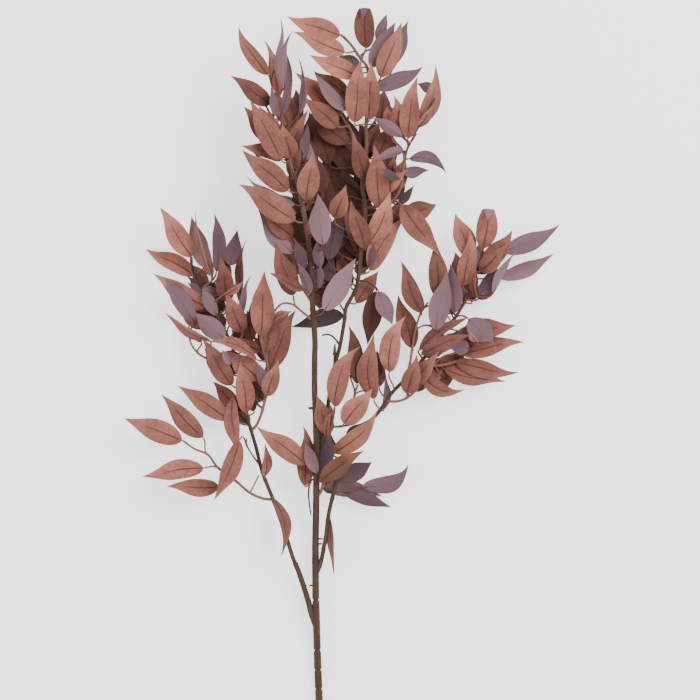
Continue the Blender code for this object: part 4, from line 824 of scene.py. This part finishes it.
class Corners:
    """The corner points of a solid of the frame, found by their place."""

    def __init__(self, node):
        self.places = [corner.co.copy() for corner in NODES[node].data.vertices]
        self.solid = KDTree(len(self.places))
        self.seen = KDTree(len(self.places))
        for index, place in enumerate(self.places):
            self.solid.insert(place, index)
            self.seen.insert(place.xy.to_3d(), index)
        self.solid.balance()
        self.seen.balance()

    def holds(self, place):
        """Whether the solid has a corner at a place."""
        return self.solid.find(place)[2] < FOUND_WITHIN


def settle(leaf, corners):
    """Poses a leaf at the height where the frame's solid has its tip and a ring across its blade."""
    lifts = (-0.5 * SOLID_THICKNESS, 0.5 * SOLID_THICKNESS)
    for rise_factor in RISE_FACTORS:
        leaf.pose(0.0, rise_factor)
        tip = leaf.solid_point(1.0, 0.0, 0.0)
        share = SMALL_CHECKED_AT if leaf.length < SMALL_LEAF else CHECKED_AT
        ring = [leaf.solid_point(share, side, lift) for side in (-1, 1) for lift in lifts]
        for _, index, _ in corners.seen.find_range(tip.xy.to_3d(), FOUND_WITHIN):
            shift = corners.places[index].z - tip.z
            if all(corners.holds(place + Vector((0.0, 0.0, shift))) for place in ring):
                leaf.pose(shift, rise_factor)
                return
    raise RuntimeError(f"the frame has no blade for leaf {leaf.number} of {leaf.node}")


def nearest_node(lines, row):
    """The node whose twig or stem passes closest to a further leaf's base, seen from above."""
    base = Vector((row[2], row[3], 0.0)) * MM
    return min(lines, key=lambda line: line.nearest(base)[0]).node


def find_room(leaf, crowd):
    """Poses a further leaf at the nearest height where it keeps clear of the others, or has most room."""
    tree = KDTree(len(crowd))
    for index, place in enumerate(crowd):
        tree.insert(place, index)
    tree.balance()
    way = 1 if leaf.level > 0 else -1
    leaf.pose(0.0, 1.0)
    lift = max(LOWEST - min(place.z for place in leaf.samples(*TRIAL_GRID)), 0.0)
    best = (-1.0, lift)
    for step in range(0, SEARCH_REACH, SEARCH_STEP):
        shift = lift + way * step * MM
        leaf.pose(shift, 1.0)
        places = leaf.samples(*TRIAL_GRID)
        heights = [place.z for place in places]
        if min(heights) < LOWEST - WELD or max(heights) > HIGHEST:
            continue
        room = min(tree.find(place)[2] for place in places)
        best = max(best, (room, shift))
        if room > ROOM:
            break
    leaf.pose(best[1], 1.0)


@functools.cache
def spray():
    """The smooth axes of all stems and twigs, and every leaf where the frame has it."""
    solids = solid_lines()
    smooth = smooth_lines(solids)
    corners = {node: Corners(node) for node, _ in LEAVES}
    rows = [(node, *row) for node, group in LEAVES for row in group]
    leaves = [Leaf(row, number, solids) for number, row in enumerate(rows)]
    for leaf in leaves:
        settle(leaf, corners[leaf.node])
        leaf.take_root(smooth, STALK_SLANT)
    crowd = [place for line in smooth for place in line.points]
    for leaf in leaves:
        crowd += leaf.samples(*CROWD_GRID)
    for row in MORE_LEAVES:
        leaf = Leaf((nearest_node(smooth, row), *row), len(leaves), smooth)
        leaf.take_root(smooth, STALK_SLANT)
        find_room(leaf, crowd)
        crowd += leaf.samples(*CROWD_GRID)
        leaves.append(leaf)
    return smooth, leaves


def draw_tube(mesh, points, radii, sides, relief=0.0, stains_and_shade=None):
    """Draws a closed round tube ring by ring. Each corner notes its place round and along the tube, and its
    stain and painted shade.
    """
    grain = mesh.verts.layers.float_vector[GRAIN]
    stain_and_shade = mesh.verts.layers.float[STAIN_AND_SHADE]
    girth = max(radii)
    way = (points[1] - points[0]).normalized()
    turn = way.to_track_quat("Z", "Y").to_matrix()
    circle = bmesh.ops.create_circle(mesh, cap_ends=True, segments=sides, radius=girth)["verts"]
    for corner in circle:
        corner[grain] = corner.co
    edges = list({edge for corner in circle for edge in corner.link_edges})
    ring = circle
    far = 0.0
    for index, (point, radius) in enumerate(zip(points, radii)):
        if index:
            drawn = bmesh.ops.extrude_edge_only(mesh, edges=edges)["geom"]
            edges = [part for part in drawn if isinstance(part, bmesh.types.BMEdge)]
            ring = [part for part in drawn if isinstance(part, bmesh.types.BMVert)]
            after = (points[min(index + 1, len(points) - 1)] - points[index - 1]).normalized()
            turn = way.rotation_difference(after).to_matrix() @ turn
            way = after
            far += (point - points[index - 1]).length
        for corner in ring:
            place = Vector((corner[grain].x, corner[grain].y, 0.0))
            ridge = place * (RIDGES_ROUND / girth)
            ridge.z = far / RIDGE_LENGTH + girth / MM * RIDGE_SHIFT
            swell = radius / girth * (1.0 + relief * noise.noise(ridge))
            corner.co = point + turn @ (place * swell)
            corner[grain] = (place.x, place.y, far)
            corner[stain_and_shade] = stains_and_shade[index] if stains_and_shade else 0.0
    bmesh.ops.holes_fill(mesh, edges=edges, sides=0)


def rounded_end(points, radii):
    """Adds two small rings that close a free end roundly."""
    way = (points[-1] - points[-2]).normalized()
    tip, radius = points[-1], radii[-1]
    for reach in END_ROUNDING:
        points.append(tip + way * (radius * reach))
        radii.append(radius * math.sqrt(1.0 - reach * reach))


def collared_end(points, radii):
    """Ends a moulded stem in a short collar, out of which the next one grows."""
    way = (points[-1] - points[-2]).normalized()
    tip, radius = points.pop(), radii.pop()
    for back, wider in ((COLLAR_LENGTH, 0.0), (COLLAR_LENGTH - COLLAR_EDGE, COLLAR), (COLLAR_EDGE, COLLAR),
                        (0.0, COLLAR - COLLAR_EDGE)):
        points.append(tip - way * back)
        radii.append(radius + wider)


def draw_bud(mesh, line):
    """Draws the small round beads of a bud, winding up round the end of its twig."""
    for bead in range(BEADS):
        point = line.at(min(bead * BEAD_STEP, line.far[-1]))[0]
        point = point + line.first_way * max(bead * BEAD_STEP - line.far[-1], 0.0)
        turn = Matrix.Rotation(bead * BEAD_TURN, 3, line.first_way)
        place = point + turn @ Vector((BEAD_OFF * (1.0 - bead / BEADS), 0.0, 0.0))
        bmesh.ops.create_icosphere(mesh, subdivisions=BEAD_CUTS, radius=BEAD_RADIUS,
                                   matrix=Matrix.Translation(place))


def tube_bmesh():
    """An empty mesh for tubes, with room for what their corners note."""
    mesh = bmesh.new()
    mesh.verts.layers.float_vector.new(GRAIN)
    mesh.verts.layers.float.new(STAIN_AND_SHADE)
    return mesh


def twig_stations(line, roots):
    """Points along a twig with their radii, swollen where the leaf stalks leave it."""
    count = max(3, math.ceil(line.far[-1] / TWIG_STEP))
    points, radii = [], []
    for step in range(count + 1):
        point, radius = line.at(line.far[-1] * step / count)
        near = sum(math.exp(-((point - root).length / KNOT_REACH) ** 2) for root in roots)
        points.append(point)
        radii.append(radius + KNOT * min(near, 1.0))
    return points, radii


def notched_stations(line):
    """Points along the lower stem with their radii, with the rings where it is meant to snap."""
    count = math.ceil(line.far[-1] / STEM_STEP)
    stations = {line.far[-1] * step / count: 0.0 for step in range(count + 1)}
    for notch in NOTCHES:
        middle = min(range(len(line.points)), key=lambda index: abs(line.points[index].y - notch * MM))
        centre = line.far[middle] + notch * MM - line.points[middle].y
        reach = NOTCH_PROFILE[-1][0] * MM
        stations = {far: depth for far, depth in stations.items() if abs(far - centre) > reach}
        stations.update({centre + offset * MM: depth for offset, depth in NOTCH_PROFILE})
    points, radii = [], []
    for far in sorted(stations):
        point, radius = line.at(far)
        points.append(point)
        radii.append(radius - stations[far] * MM)
    return points, radii


def draw_stalk(mesh, leaf):
    """A leaf's stalk, and the rib that it becomes on the upper face of the blade."""
    points, radii, stains_and_shade = [], [], []
    # Painted shade: a stalk is painted darker as its leaf is painted in shade, and a mauve leaf's stalk is
    # dark at least.
    stalk_dark_and_painted_shade = max(0.0, 1.0 - PAINTED_LIGHT_LEVELS[leaf.painted_light], MAUVE_STALK if leaf.hue == "mauve" else 0.0)
    for ring in range(STALK_RINGS):
        share = ring / STALK_RINGS
        flare = 1.0 - eased(share, 0.0, STALK_FLARE_REACH)
        points.append(leaf.stalk_point(share))
        radii.append(STALK_RADIUS + STALK_FLARE * flare)
        stains_and_shade.append(stalk_dark_and_painted_shade + (1.0 - stalk_dark_and_painted_shade) * STALK_STAIN * share)
    for ring in range(RIB_RINGS + 1):
        share = ring / RIB_RINGS
        points.append(leaf.cloth_point(RIB_END * share, 0.0, RIB_LIFT * eased(share, 0.0, RIB_LIFT_REACH)))
        radii.append(RIB_RADIUS + (RIB_POINT - RIB_RADIUS) * share)
        darker = STALK_STAIN + (1.0 - STALK_STAIN) * eased(share, 0.0, RIB_STAIN_REACH)
        stains_and_shade.append(stalk_dark_and_painted_shade + (1.0 - stalk_dark_and_painted_shade) * darker)
    draw_tube(mesh, points, radii, STALK_SIDES, TWIG_RELIEF, stains_and_shade)


def blade_shares(leaf):
    """Stations along a blade, closer together towards its base and tip, and round a folded tip."""
    shares = {round(0.5 - 0.5 * math.cos(math.pi * step / STATIONS), 4) for step in range(STATIONS + 1)}
    if leaf.folded:
        shares = {share for share in shares if not FOLD_STATIONS[0] < share < FOLD_STATIONS[-1]}
        shares |= set(FOLD_STATIONS)
    return sorted(shares)


def draw_blade(mesh, leaf, thickness):
    """A cloth blade with both faces. Each corner notes where on the leaf it lies, and the leaf's painted
    light.
    """
    place = mesh.verts.layers.float_vector[PLACE]
    painted_light_and_hue = mesh.verts.layers.float_vector[PAINTED_LIGHT_AND_HUE]
    weave = mesh.verts.layers.float_vector[WEAVE]
    shares = blade_shares(leaf)
    rows = len(shares) - 1
    columns = len(ACROSS) - 1
    upper = bmesh.ops.create_grid(mesh, x_segments=rows, y_segments=columns, size=1.0)["verts"]
    for corner in upper:
        share = shares[round((corner.co.x + 1.0) / 2.0 * rows)]
        across = ACROSS[round((corner.co.y + 1.0) / 2.0 * columns)]
        corner[place] = (share, across, 1.0)
        corner[weave] = (share * leaf.length, across * leaf.half_width(share), leaf.number)
        # The leaf's level of painted light and shade, its hue's warmth and its chance.
        corner[painted_light_and_hue] = (PAINTED_LIGHT_LEVELS[leaf.painted_light], HUES[leaf.hue], leaf.chance)
    faces = list({face for corner in upper for face in corner.link_faces})
    drawn = bmesh.ops.extrude_face_region(mesh, geom=faces)["geom"]
    under = [part for part in drawn if isinstance(part, bmesh.types.BMVert)]
    for corner in under:
        corner[place].z = 0.0
    for corner in upper + under:
        share, across, face = corner[place]
        corner.co = leaf.cloth_point(share, across, (face - 0.5) * thickness)


class Signal:
    """A shader socket that takes part in Python expressions."""

    def __init__(self, finish, socket):
        self.finish = finish
        self.socket = socket

    def __add__(self, other):
        return self.finish.maths("ADD", self, other)

    def __rsub__(self, other):
        return self.finish.maths("SUBTRACT", other, self)

    def __mul__(self, other):
        return self.finish.maths("MULTIPLY", self, other)

    def __truediv__(self, other):
        return self.finish.maths("DIVIDE", self, other)

    __radd__ = __add__
    __rmul__ = __mul__


class Finish:
    """A material that is put together node by node."""

    def __init__(self, name):
        self.material = bpy.data.materials.new(name)
        self.material.use_nodes = True
        self.nodes = self.material.node_tree.nodes
        self.links = self.material.node_tree.links
        self.shader = self.nodes["Principled BSDF"]

    def node(self, kind, settings, **values):
        """Adds a node: its settings first, then values or signals for its sockets, by identifier."""
        made = self.nodes.new(kind)
        for name, value in settings.items():
            setattr(made, name, value)
        sockets = {socket.identifier: socket for socket in made.inputs}
        for name, value in values.items():
            self.feed(sockets[name], value)
        return {socket.identifier: Signal(self, socket) for socket in made.outputs}

    def feed(self, socket, value):
        """Links a signal to a socket, or sets the socket's value. A colour gets its fourth part."""
        if isinstance(value, Signal):
            self.links.new(value.socket, socket)
        elif socket.type == "RGBA":
            socket.default_value = (*value, 1.0)
        else:
            socket.default_value = value

    def maths(self, operation, first, second=0.0):
        """Adds a Math node."""
        values = {"Value": first, "Value_001": second}
        return self.node("ShaderNodeMath", {"operation": operation}, **values)["Value"]

    def mix(self, share, first, second, blend="MIX"):
        """Two colours mixed: the first where the share is 0, the second where it is 1."""
        settings = {"data_type": "RGBA", "blend_type": blend}
        mixed = self.node("ShaderNodeMix", settings, Factor_Float=share, A_Color=first, B_Color=second)
        return mixed["Result_Color"]

    def lit(self, colour, light):
        """A colour times a number."""
        return self.mix(1.0, colour, light, "MULTIPLY")

    def spot(self):
        """The place on the object."""
        return self.node("ShaderNodeTexCoord", {})["Object"]

    def noted(self, name, part="Vector"):
        """What the mesh's corners carry under a name."""
        return self.node("ShaderNodeAttribute", {"attribute_name": name})[part]

    def parts(self, vector):
        """The three numbers of a vector."""
        return [*self.node("ShaderNodeSeparateXYZ", {}, Vector=vector).values()]

    def stretched(self, vector, scale):
        """A vector with each of its numbers scaled by itself."""
        settings = {"operation": "MULTIPLY"}
        return self.node("ShaderNodeVectorMath", settings, Vector=vector, Vector_001=scale)["Vector"]

    def speckle(self, vector, scale, detail, roughness=0.5):
        """Soft noise from 0 to 1."""
        values = {"Vector": vector, "Scale": scale, "Detail": detail, "Roughness": roughness}
        return self.node("ShaderNodeTexNoise", {}, **values)["Fac"]

    def band(self, value, low, high):
        """0 below low, 1 above high, smooth in between."""
        settings = {"interpolation_type": "SMOOTHSTEP"}
        values = {"Value": value, "From Min": low, "From Max": high}
        return self.node("ShaderNodeMapRange", settings, **values)["Result"]

    def bump(self, height, strength, distance):
        """Raises the surface where the height is 1."""
        values = {"Strength": strength, "Distance": distance, "Height": height}
        self.feed(self.shader.inputs["Normal"], self.node("ShaderNodeBump", {}, **values)["Normal"])

    def set(self, **values):
        """Sets the shader's own sockets, named with underscores for spaces."""
        for name, value in values.items():
            self.feed(self.shader.inputs[name.replace("_", " ")], value)


def between(value, low, high):
    """low where the value is 0, high where it is 1."""
    return low + value * (high - low)


def leaf_cloth(props):
    """Woven leaf cloth, printed rose on the upper face and mauve on the under face, with painted light and
    shade.
    """
    finish = Finish("leaf_cloth")
    along, across, face = finish.parts(finish.noted(PLACE))
    painted_light, warmth, chance = finish.parts(finish.noted(PAINTED_LIGHT_AND_HUE))
    round_way, from_rib, _ = finish.parts(finish.noted(WEAVE))
    spot = finish.spot()
    cloud = finish.speckle(spot, *CLOUD_NOISE)
    mottle = finish.speckle(spot, *MOTTLE_NOISE)
    nap = finish.speckle(spot, *NAP_NOISE)
    off_rib = finish.maths("ABSOLUTE", from_rib) / MM
    on_rib = 1.0 - finish.band(along, *ON_RIB_BAND)
    tip = finish.band(along, *TIP_BAND)
    rim = finish.band(finish.maths("ABSOLUTE", across), *RIM_BAND)

    rose = finish.mix(finish.band(mottle, *MOTTLE_BAND), props.rose_deep, props.rose)
    rose = finish.mix(finish.band(warmth, 0.0, 1.0), rose, props.orange)
    rose = finish.mix(finish.band(0.0 - warmth, 0.0, 1.0), rose, props.brown)
    rose = finish.mix(tip * TIP_SHARE, rose, props.rose_tip)
    rose = finish.mix(rim * RIM_SHARE, rose, props.rose_tip)
    # Partly a real stain along the rib, partly painted shade beside the raised rib.
    stain_and_shade = (1.0 - finish.band(off_rib, *STAIN_AND_SHADE_BAND)) * on_rib * STAIN_AND_SHADE_SHARE
    rose = finish.mix(stain_and_shade, rose, props.rib_stain_and_shade)
    # Painted shade at the blade's base.
    painted_foot_shade = (1.0 - finish.band(along, *FOOT_SHADE_BAND)) * FOOT_SHADE_SHARE
    rose = finish.mix(painted_foot_shade, rose, props.rib_stain_and_shade)

    mauve = finish.mix(finish.band(cloud, *CLOUD_BAND), props.mauve, props.mauve_grey)
    # Painted shade in the pressed crease of the under face.
    painted_crease_shade = (1.0 - finish.band(off_rib, *CREASE_SHADE_BAND)) * on_rib * CREASE_SHADE_SHARE
    mauve = finish.mix(painted_crease_shade, mauve, props.mauve_crease_shade)
    mauve = finish.mix(rim * RIM_UNDER_SHARE, mauve, props.rose)

    # Painted light and shade: one half of each leaf painted lighter and the other darker.
    painted_half_light = 1.0 + across * finish.maths("SIGN", chance) * PAINTED_HALF_LIGHT
    # Painted light and shade of the whole leaf by its level, times random clouds and nap.
    light = painted_light * painted_half_light * between(cloud, *CLOUD_LIGHT) * between(nap, *NAP_LIGHT)
    colour = finish.lit(finish.mix(face, mauve, rose), light * between(chance, *LEAF_LIGHT))
    finish.set(Base_Color=colour, Roughness=between(mottle, *CLOTH_ROUGHNESS))
    finish.set(Sheen_Weight=props.sheen, Sheen_Roughness=0.5, Specular_IOR_Level=0.22)
    thread = 2.0 * math.pi / props.thread
    weft = finish.maths("SINE", round_way * thread) * finish.maths("SINE", from_rib * thread)
    finish.bump(weft * WEFT_SHARE + nap + mottle, *CLOTH_BUMP)
    return finish.material


def twig_moulding(props):
    """Thin red-brown moulding of the twigs and stalks, darker where it runs over the blades, with painted
    shade on the stalks of shaded leaves.
    """
    finish = Finish("twig_moulding")
    streak = finish.speckle(finish.stretched(finish.noted(GRAIN), TWIG_GRAIN), *TWIG_NOISE)
    patch = finish.speckle(finish.spot(), *TWIG_PATCH_NOISE)
    colour = finish.mix(finish.band(patch, *TWIG_PATCH_BAND), props.twig, props.twig_rosy)
    # The stain brings in painted shade on the stalks of leaves that are painted in shade.
    colour = finish.mix(finish.band(finish.noted(STAIN_AND_SHADE, "Fac"), *RIB_BAND), colour, props.rib)
    finish.set(Base_Color=finish.lit(colour, between(streak, *TWIG_LIGHT)))
    finish.set(Roughness=between(streak, *TWIG_ROUGHNESS), Specular_IOR_Level=0.25)
    finish.bump(streak, *TWIG_BUMP)
    return finish.material


def stem_moulding(props):
    """Brown moulded bark, streaked lengthwise, with paler worn ridges and painted light on the upper stems.
    """
    finish = Finish("stem_moulding")
    grain = finish.noted(GRAIN)
    spot = finish.spot()
    streak = finish.speckle(finish.stretched(grain, STREAK_GRAIN), *STREAK_NOISE)
    scar = finish.speckle(finish.stretched(grain, SCAR_GRAIN), *SCAR_NOISE)
    patch = finish.speckle(spot, *BARK_PATCH_NOISE)
    _, up_stem, _ = finish.parts(spot)
    colour = finish.mix(finish.band(patch, *BARK_PATCH_BAND), props.bark, props.bark_red)
    colour = finish.mix(finish.band(streak, *WORN_BAND) * WORN_SHARE, colour, props.bark_worn)
    colour = finish.mix(finish.band(scar, *SCAR_BAND) * SCAR_SHARE, colour, props.bark_dark)
    # Painted light: the upper stems painted paler against the shade of the leaves.
    colour = finish.mix(finish.band(up_stem, *UPPER_LIGHT_BAND) * UPPER_LIGHT_SHARE, colour, props.bark_upper_light)
    finish.set(Base_Color=finish.lit(colour, between(streak, *BARK_LIGHT)))
    finish.set(Roughness=between(scar, *BARK_ROUGHNESS), Specular_IOR_Level=0.25)
    finish.bump(streak * STREAK_SHARE + scar, *BARK_BUMP)
    return finish.material


def steel_core(props):
    """Cut steel wire with faint drawing lines."""
    finish = Finish("steel_core")
    line = finish.speckle(finish.stretched(finish.noted(GRAIN), STEEL_GRAIN), *STEEL_NOISE)
    finish.set(Base_Color=finish.mix(line, props.steel, props.steel_dull), Metallic=1.0)
    finish.set(Roughness=between(line, *STEEL_ROUGHNESS))
    return finish.material


def floor_paper(props):
    """Plain pale paper."""
    finish = Finish("floor_paper")
    fibre = finish.speckle(finish.spot(), *FIBRE_NOISE)
    finish.set(Base_Color=finish.mix(fibre * FIBRE_SHARE, props.floor, FIBRE_GREY), Roughness=0.9)
    finish.set(Specular_IOR_Level=0.1, Emission_Color=WHITE, Emission_Strength=props.glow)
    return finish.material


def new_object(name, mesh):
    """Puts a finished mesh in the scene, with its place in the mesh."""
    data = bpy.data.meshes.new(name)
    mesh.to_mesh(data)
    mesh.free()
    made = bpy.data.objects.new(name, data)
    bpy.context.scene.collection.objects.link(made)
    return made


def add_piece(name, mesh, material, node):
    """Turns a mesh into a piece that stands for a node of the frame."""
    bmesh.ops.recalc_face_normals(mesh, faces=mesh.faces)
    piece = new_object(name, mesh)
    piece.data.shade_smooth()
    piece.data.set_sharp_from_angle(angle=SHARP_OVER)
    piece.data.materials.append(material)
    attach(piece, "root")
    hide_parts(node)


def colour_prop(name, description, default):
    """A colour that the user can change."""
    return FloatVectorProperty(name=name, description=description, subtype="COLOR", size=3, min=0.0, max=1.0,
                               default=default)


class WillowCloth(bpy.types.PropertyGroup):
    rose: colour_prop("Rose", "Upper face of the leaves", (0.3, 0.116, 0.087))
    rose_deep: colour_prop("Deep rose", "Darker clouds of the upper face", (0.205, 0.074, 0.054))
    rose_tip: colour_prop("Tip rose", "Upper face beyond the rib, and its cut edge", (0.37, 0.15, 0.12))
    orange: colour_prop("Orange", "Upper face of the few orange leaves", (0.345, 0.137, 0.092))
    brown: colour_prop("Brown", "Upper face of the few brown leaves", (0.2, 0.082, 0.058))
    # Partly a real stain along the rib, partly painted shade there and at the blade's base.
    rib_stain_and_shade: colour_prop("Rib stain", "Cloth along the rib and at the blade's base", (0.15, 0.05, 0.035))
    mauve: colour_prop("Mauve", "Under face of the leaves", (0.225, 0.125, 0.148))
    mauve_grey: colour_prop("Grey mauve", "Cooler clouds of the under face", (0.165, 0.098, 0.112))
    # Painted shade in the pressed crease.
    mauve_crease_shade: colour_prop("Mauve crease", "Line pressed into the under face", (0.12, 0.07, 0.08))
    sheen: FloatProperty(name="Sheen", description="Soft fibre sheen of the cloth", min=0.0, max=1.0,
                         subtype="FACTOR", default=0.05)
    thickness: FloatProperty(name="Thickness", description="Thickness of the cloth", min=0.2 * MM, max=MM,
                             unit="LENGTH", default=0.45 * MM)
    thread: FloatProperty(name="Thread", description="Pitch of the weave", min=0.2 * MM, max=2.0 * MM,
                          unit="LENGTH", default=0.55 * MM)


class WillowMoulding(bpy.types.PropertyGroup):
    twig: colour_prop("Twig", "Thin twigs and leaf stalks", (0.19, 0.092, 0.062))
    twig_rosy: colour_prop("Rosy twig", "Stalks tinted with the leaves' rose", (0.23, 0.1, 0.072))
    rib: colour_prop("Rib", "Ribs on the upper face of the blades", (0.075, 0.025, 0.017))
    bark: colour_prop("Bark", "Stems and branches", (0.06, 0.034, 0.021))
    bark_red: colour_prop("Red bark", "Warmer patches of the bark", (0.072, 0.037, 0.024))
    bark_worn: colour_prop("Worn bark", "Paler ridges of the bark", (0.13, 0.083, 0.058))
    # Painted light: paler upper stems against the leaves' shade.
    bark_upper_light: colour_prop("Upper bark", "Paler bark of the upper stems", (0.2, 0.12, 0.083))
    bark_dark: colour_prop("Dark bark", "Hollows of the bark", (0.032, 0.018, 0.012))
    steel: colour_prop("Steel", "Cut end of the wire", (0.5, 0.5, 0.51))
    steel_dull: colour_prop("Dull steel", "Drawing lines of the wire", (0.3, 0.3, 0.31))


class WillowStage(bpy.types.PropertyGroup):
    floor: colour_prop("Floor", "Pale floor", (0.93, 0.93, 0.93))
    glow: FloatProperty(name="Glow", description="How much the lit paper table shines by itself", min=0.0,
                        max=5.0, default=1.2)
    sky: FloatProperty(name="Fill", description="Strength of the even light from all round", min=0.0, max=5.0,
                       default=0.8)
    key: FloatProperty(name="Key", description="Power of the large soft light", min=0.0, max=500.0,
                       unit="POWER", default=70.0)
    distance: FloatProperty(name="Camera distance", description="Height of the camera over the spray",
                            min=2.0, max=30.0, unit="LENGTH", default=10.0)


class WILLOW_OT_leaves(bpy.types.Operator):
    """Lay the cloth leaves of every sprig"""
    bl_idname = "willow.leaves"
    bl_label = "Leaves"

    def execute(self, context):
        props = context.scene.willow_cloth
        cloth = leaf_cloth(props)
        _, leaves = spray()
        for node in dict.fromkeys(node for node, _ in LEAVES):
            mesh = bmesh.new()
            for layer in (PLACE, PAINTED_LIGHT_AND_HUE, WEAVE):
                mesh.verts.layers.float_vector.new(layer)
            for leaf in leaves:
                if leaf.node == node:
                    draw_blade(mesh, leaf, props.thickness)
            bmesh.ops.remove_doubles(mesh, verts=mesh.verts, dist=WELD)
            add_piece(node + "_leaves", mesh, cloth, node)
        return {"FINISHED"}


def is_bark(line):
    """Whether a line is drawn as bark: the thick ones, and the stubs and hooks on the stems."""
    return line.radii[0] >= BARK_FROM or line.node.endswith("_stem")


class WILLOW_OT_twigs(bpy.types.Operator):
    """Draw the thin twigs, the leaf stalks and the ribs on the blades"""
    bl_idname = "willow.twigs"
    bl_label = "Twigs and stalks"

    def execute(self, context):
        moulding = twig_moulding(context.scene.willow_moulding)
        lines, leaves = spray()
        for node in dict.fromkeys(line.node for line in lines):
            stalks = [leaf for leaf in leaves if leaf.node == node]
            thin = [line for line in lines if line.node == node and not is_bark(line)]
            if not stalks and not thin:
                continue
            mesh = tube_bmesh()
            for line in thin:
                points, radii = twig_stations(line, [leaf.root for leaf in stalks])
                rounded_end(points, radii)
                draw_tube(mesh, points, radii, TWIG_SIDES, TWIG_RELIEF)
            for leaf in stalks:
                draw_stalk(mesh, leaf)
            add_piece(node + "_twigs", mesh, moulding, node)
        return {"FINISHED"}


class WILLOW_OT_stems(bpy.types.Operator):
    """Draw the thick stems and branches with their bark and snap-off rings"""
    bl_idname = "willow.stems"
    bl_label = "Stems"

    def execute(self, context):
        bark = stem_moulding(context.scene.willow_moulding)
        lines, leaves = spray()
        carriers = [carrier_line(carrier) for _, kind, carrier, *_ in RUNS if kind == "end"]
        for node in dict.fromkeys(line.node for line in lines if is_bark(line)):
            mesh = tube_bmesh()
            for number, line in enumerate(line for line in lines if line.node == node):
                if not is_bark(line):
                    continue
                if line is lines[0]:
                    points, radii = notched_stations(line)
                else:
                    points, radii = twig_stations(line, [leaf.root for leaf in leaves if leaf.node == node])
                if (node, number) in carriers:
                    collared_end(points, radii)
                else:
                    rounded_end(points, radii)
                draw_tube(mesh, points, radii, BRANCH_SIDES, BARK_RELIEF)
                if (node, number) == BUD_RUN:
                    draw_bud(mesh, line)
            add_piece(node + "_bark", mesh, bark, node)
        return {"FINISHED"}


class WILLOW_OT_wire(bpy.types.Operator):
    """Draw the steel wire that stiffens the stem"""
    bl_idname = "willow.wire"
    bl_label = "Steel wire"

    def execute(self, context):
        steel = steel_core(context.scene.willow_moulding)
        lines, _ = spray()
        stem = lines[0]
        count = math.ceil(stem.far[-1] / STEM_STEP)
        points = [stem.at(min(stem.far[-1], step * STEM_STEP))[0] for step in range(count + 1)]
        points[0] = points[0] - stem.first_way * WIRE_PROUD
        mesh = tube_bmesh()
        draw_tube(mesh, points, [WIRE_RADIUS] * len(points), WIRE_SIDES)
        add_piece("stem_wire_core", mesh, steel, "stem_wire")
        return {"FINISHED"}


def area_light(name, place, size, power):
    """A square soft light that looks at the middle of the spray."""
    light = bpy.data.lights.new(name, "AREA")
    light.size = size
    light.energy = power
    lamp = bpy.data.objects.new(name, light)
    lamp.location = place
    lamp.rotation_euler = (-Vector(place)).to_track_quat("-Z", "Y").to_euler()
    bpy.context.scene.collection.objects.link(lamp)


class WILLOW_OT_stage(bpy.types.Operator):
    """Lay the pale floor, set the soft light and place the camera over the spray"""
    bl_idname = "willow.stage"
    bl_label = "Stage"

    def execute(self, context):
        props = context.scene.willow_stage
        mesh = bmesh.new()
        bmesh.ops.create_grid(mesh, x_segments=FLOOR_CUTS, y_segments=FLOOR_CUTS, size=FLOOR_HALF)
        floor = new_object("floor", mesh)
        floor.data.materials.append(floor_paper(props))
        world = bpy.data.worlds.new("pale_room")
        world.use_nodes = True
        backdrop = world.node_tree.nodes["Background"]
        backdrop.inputs["Color"].default_value = (*WHITE, 1.0)
        backdrop.inputs["Strength"].default_value = props.sky
        context.scene.world = world
        for name, place, size, share in LIGHTS:
            area_light(name, place, size, props.key * share)
        lens = bpy.data.cameras.new("camera")
        lens.sensor_width = SENSOR
        lens.lens = SENSOR * props.distance / PICTURE_WIDTH
        camera = bpy.data.objects.new("camera", lens)
        camera.location = (*PICTURE_MIDDLE, PICTURE_LEVEL + props.distance)
        context.scene.collection.objects.link(camera)
        context.scene.camera = camera
        return {"FINISHED"}


class WILLOW_PT_spray(bpy.types.Panel):
    """Lists the steps that dress the spray, with their settings"""
    bl_idname = "WILLOW_PT_spray"
    bl_label = "Willow Spray"
    bl_space_type = "VIEW_3D"
    bl_region_type = "UI"
    bl_category = "Willow Spray"

    def draw(self, context):
        for step in STEPS:
            self.layout.operator(step.bl_idname)
        for name in GROUPS:
            props = getattr(context.scene, name)
            box = self.layout.box()
            for key in props.bl_rna.properties.keys():
                if key not in ("rna_type", "name"):
                    box.prop(props, key)


GROUPS = {"willow_cloth": WillowCloth, "willow_moulding": WillowMoulding, "willow_stage": WillowStage}
STEPS = (WILLOW_OT_leaves, WILLOW_OT_twigs, WILLOW_OT_stems, WILLOW_OT_wire, WILLOW_OT_stage)


def register():
    for group in GROUPS.values():
        bpy.utils.register_class(group)
    for name, group in GROUPS.items():
        setattr(bpy.types.Scene, name, PointerProperty(type=group))
    for step in (*STEPS, WILLOW_PT_spray):
        bpy.utils.register_class(step)


def unregister():
    for step in reversed((*STEPS, WILLOW_PT_spray)):
        bpy.utils.unregister_class(step)
    for name, group in reversed(GROUPS.items()):
        delattr(bpy.types.Scene, name)
        bpy.utils.unregister_class(group)


def main():
    register()
    bpy.ops.willow.leaves()
    bpy.ops.willow.twigs()
    bpy.ops.willow.stems()
    bpy.ops.willow.wire()
    bpy.ops.willow.stage()


if __name__ == "__main__":
    main()
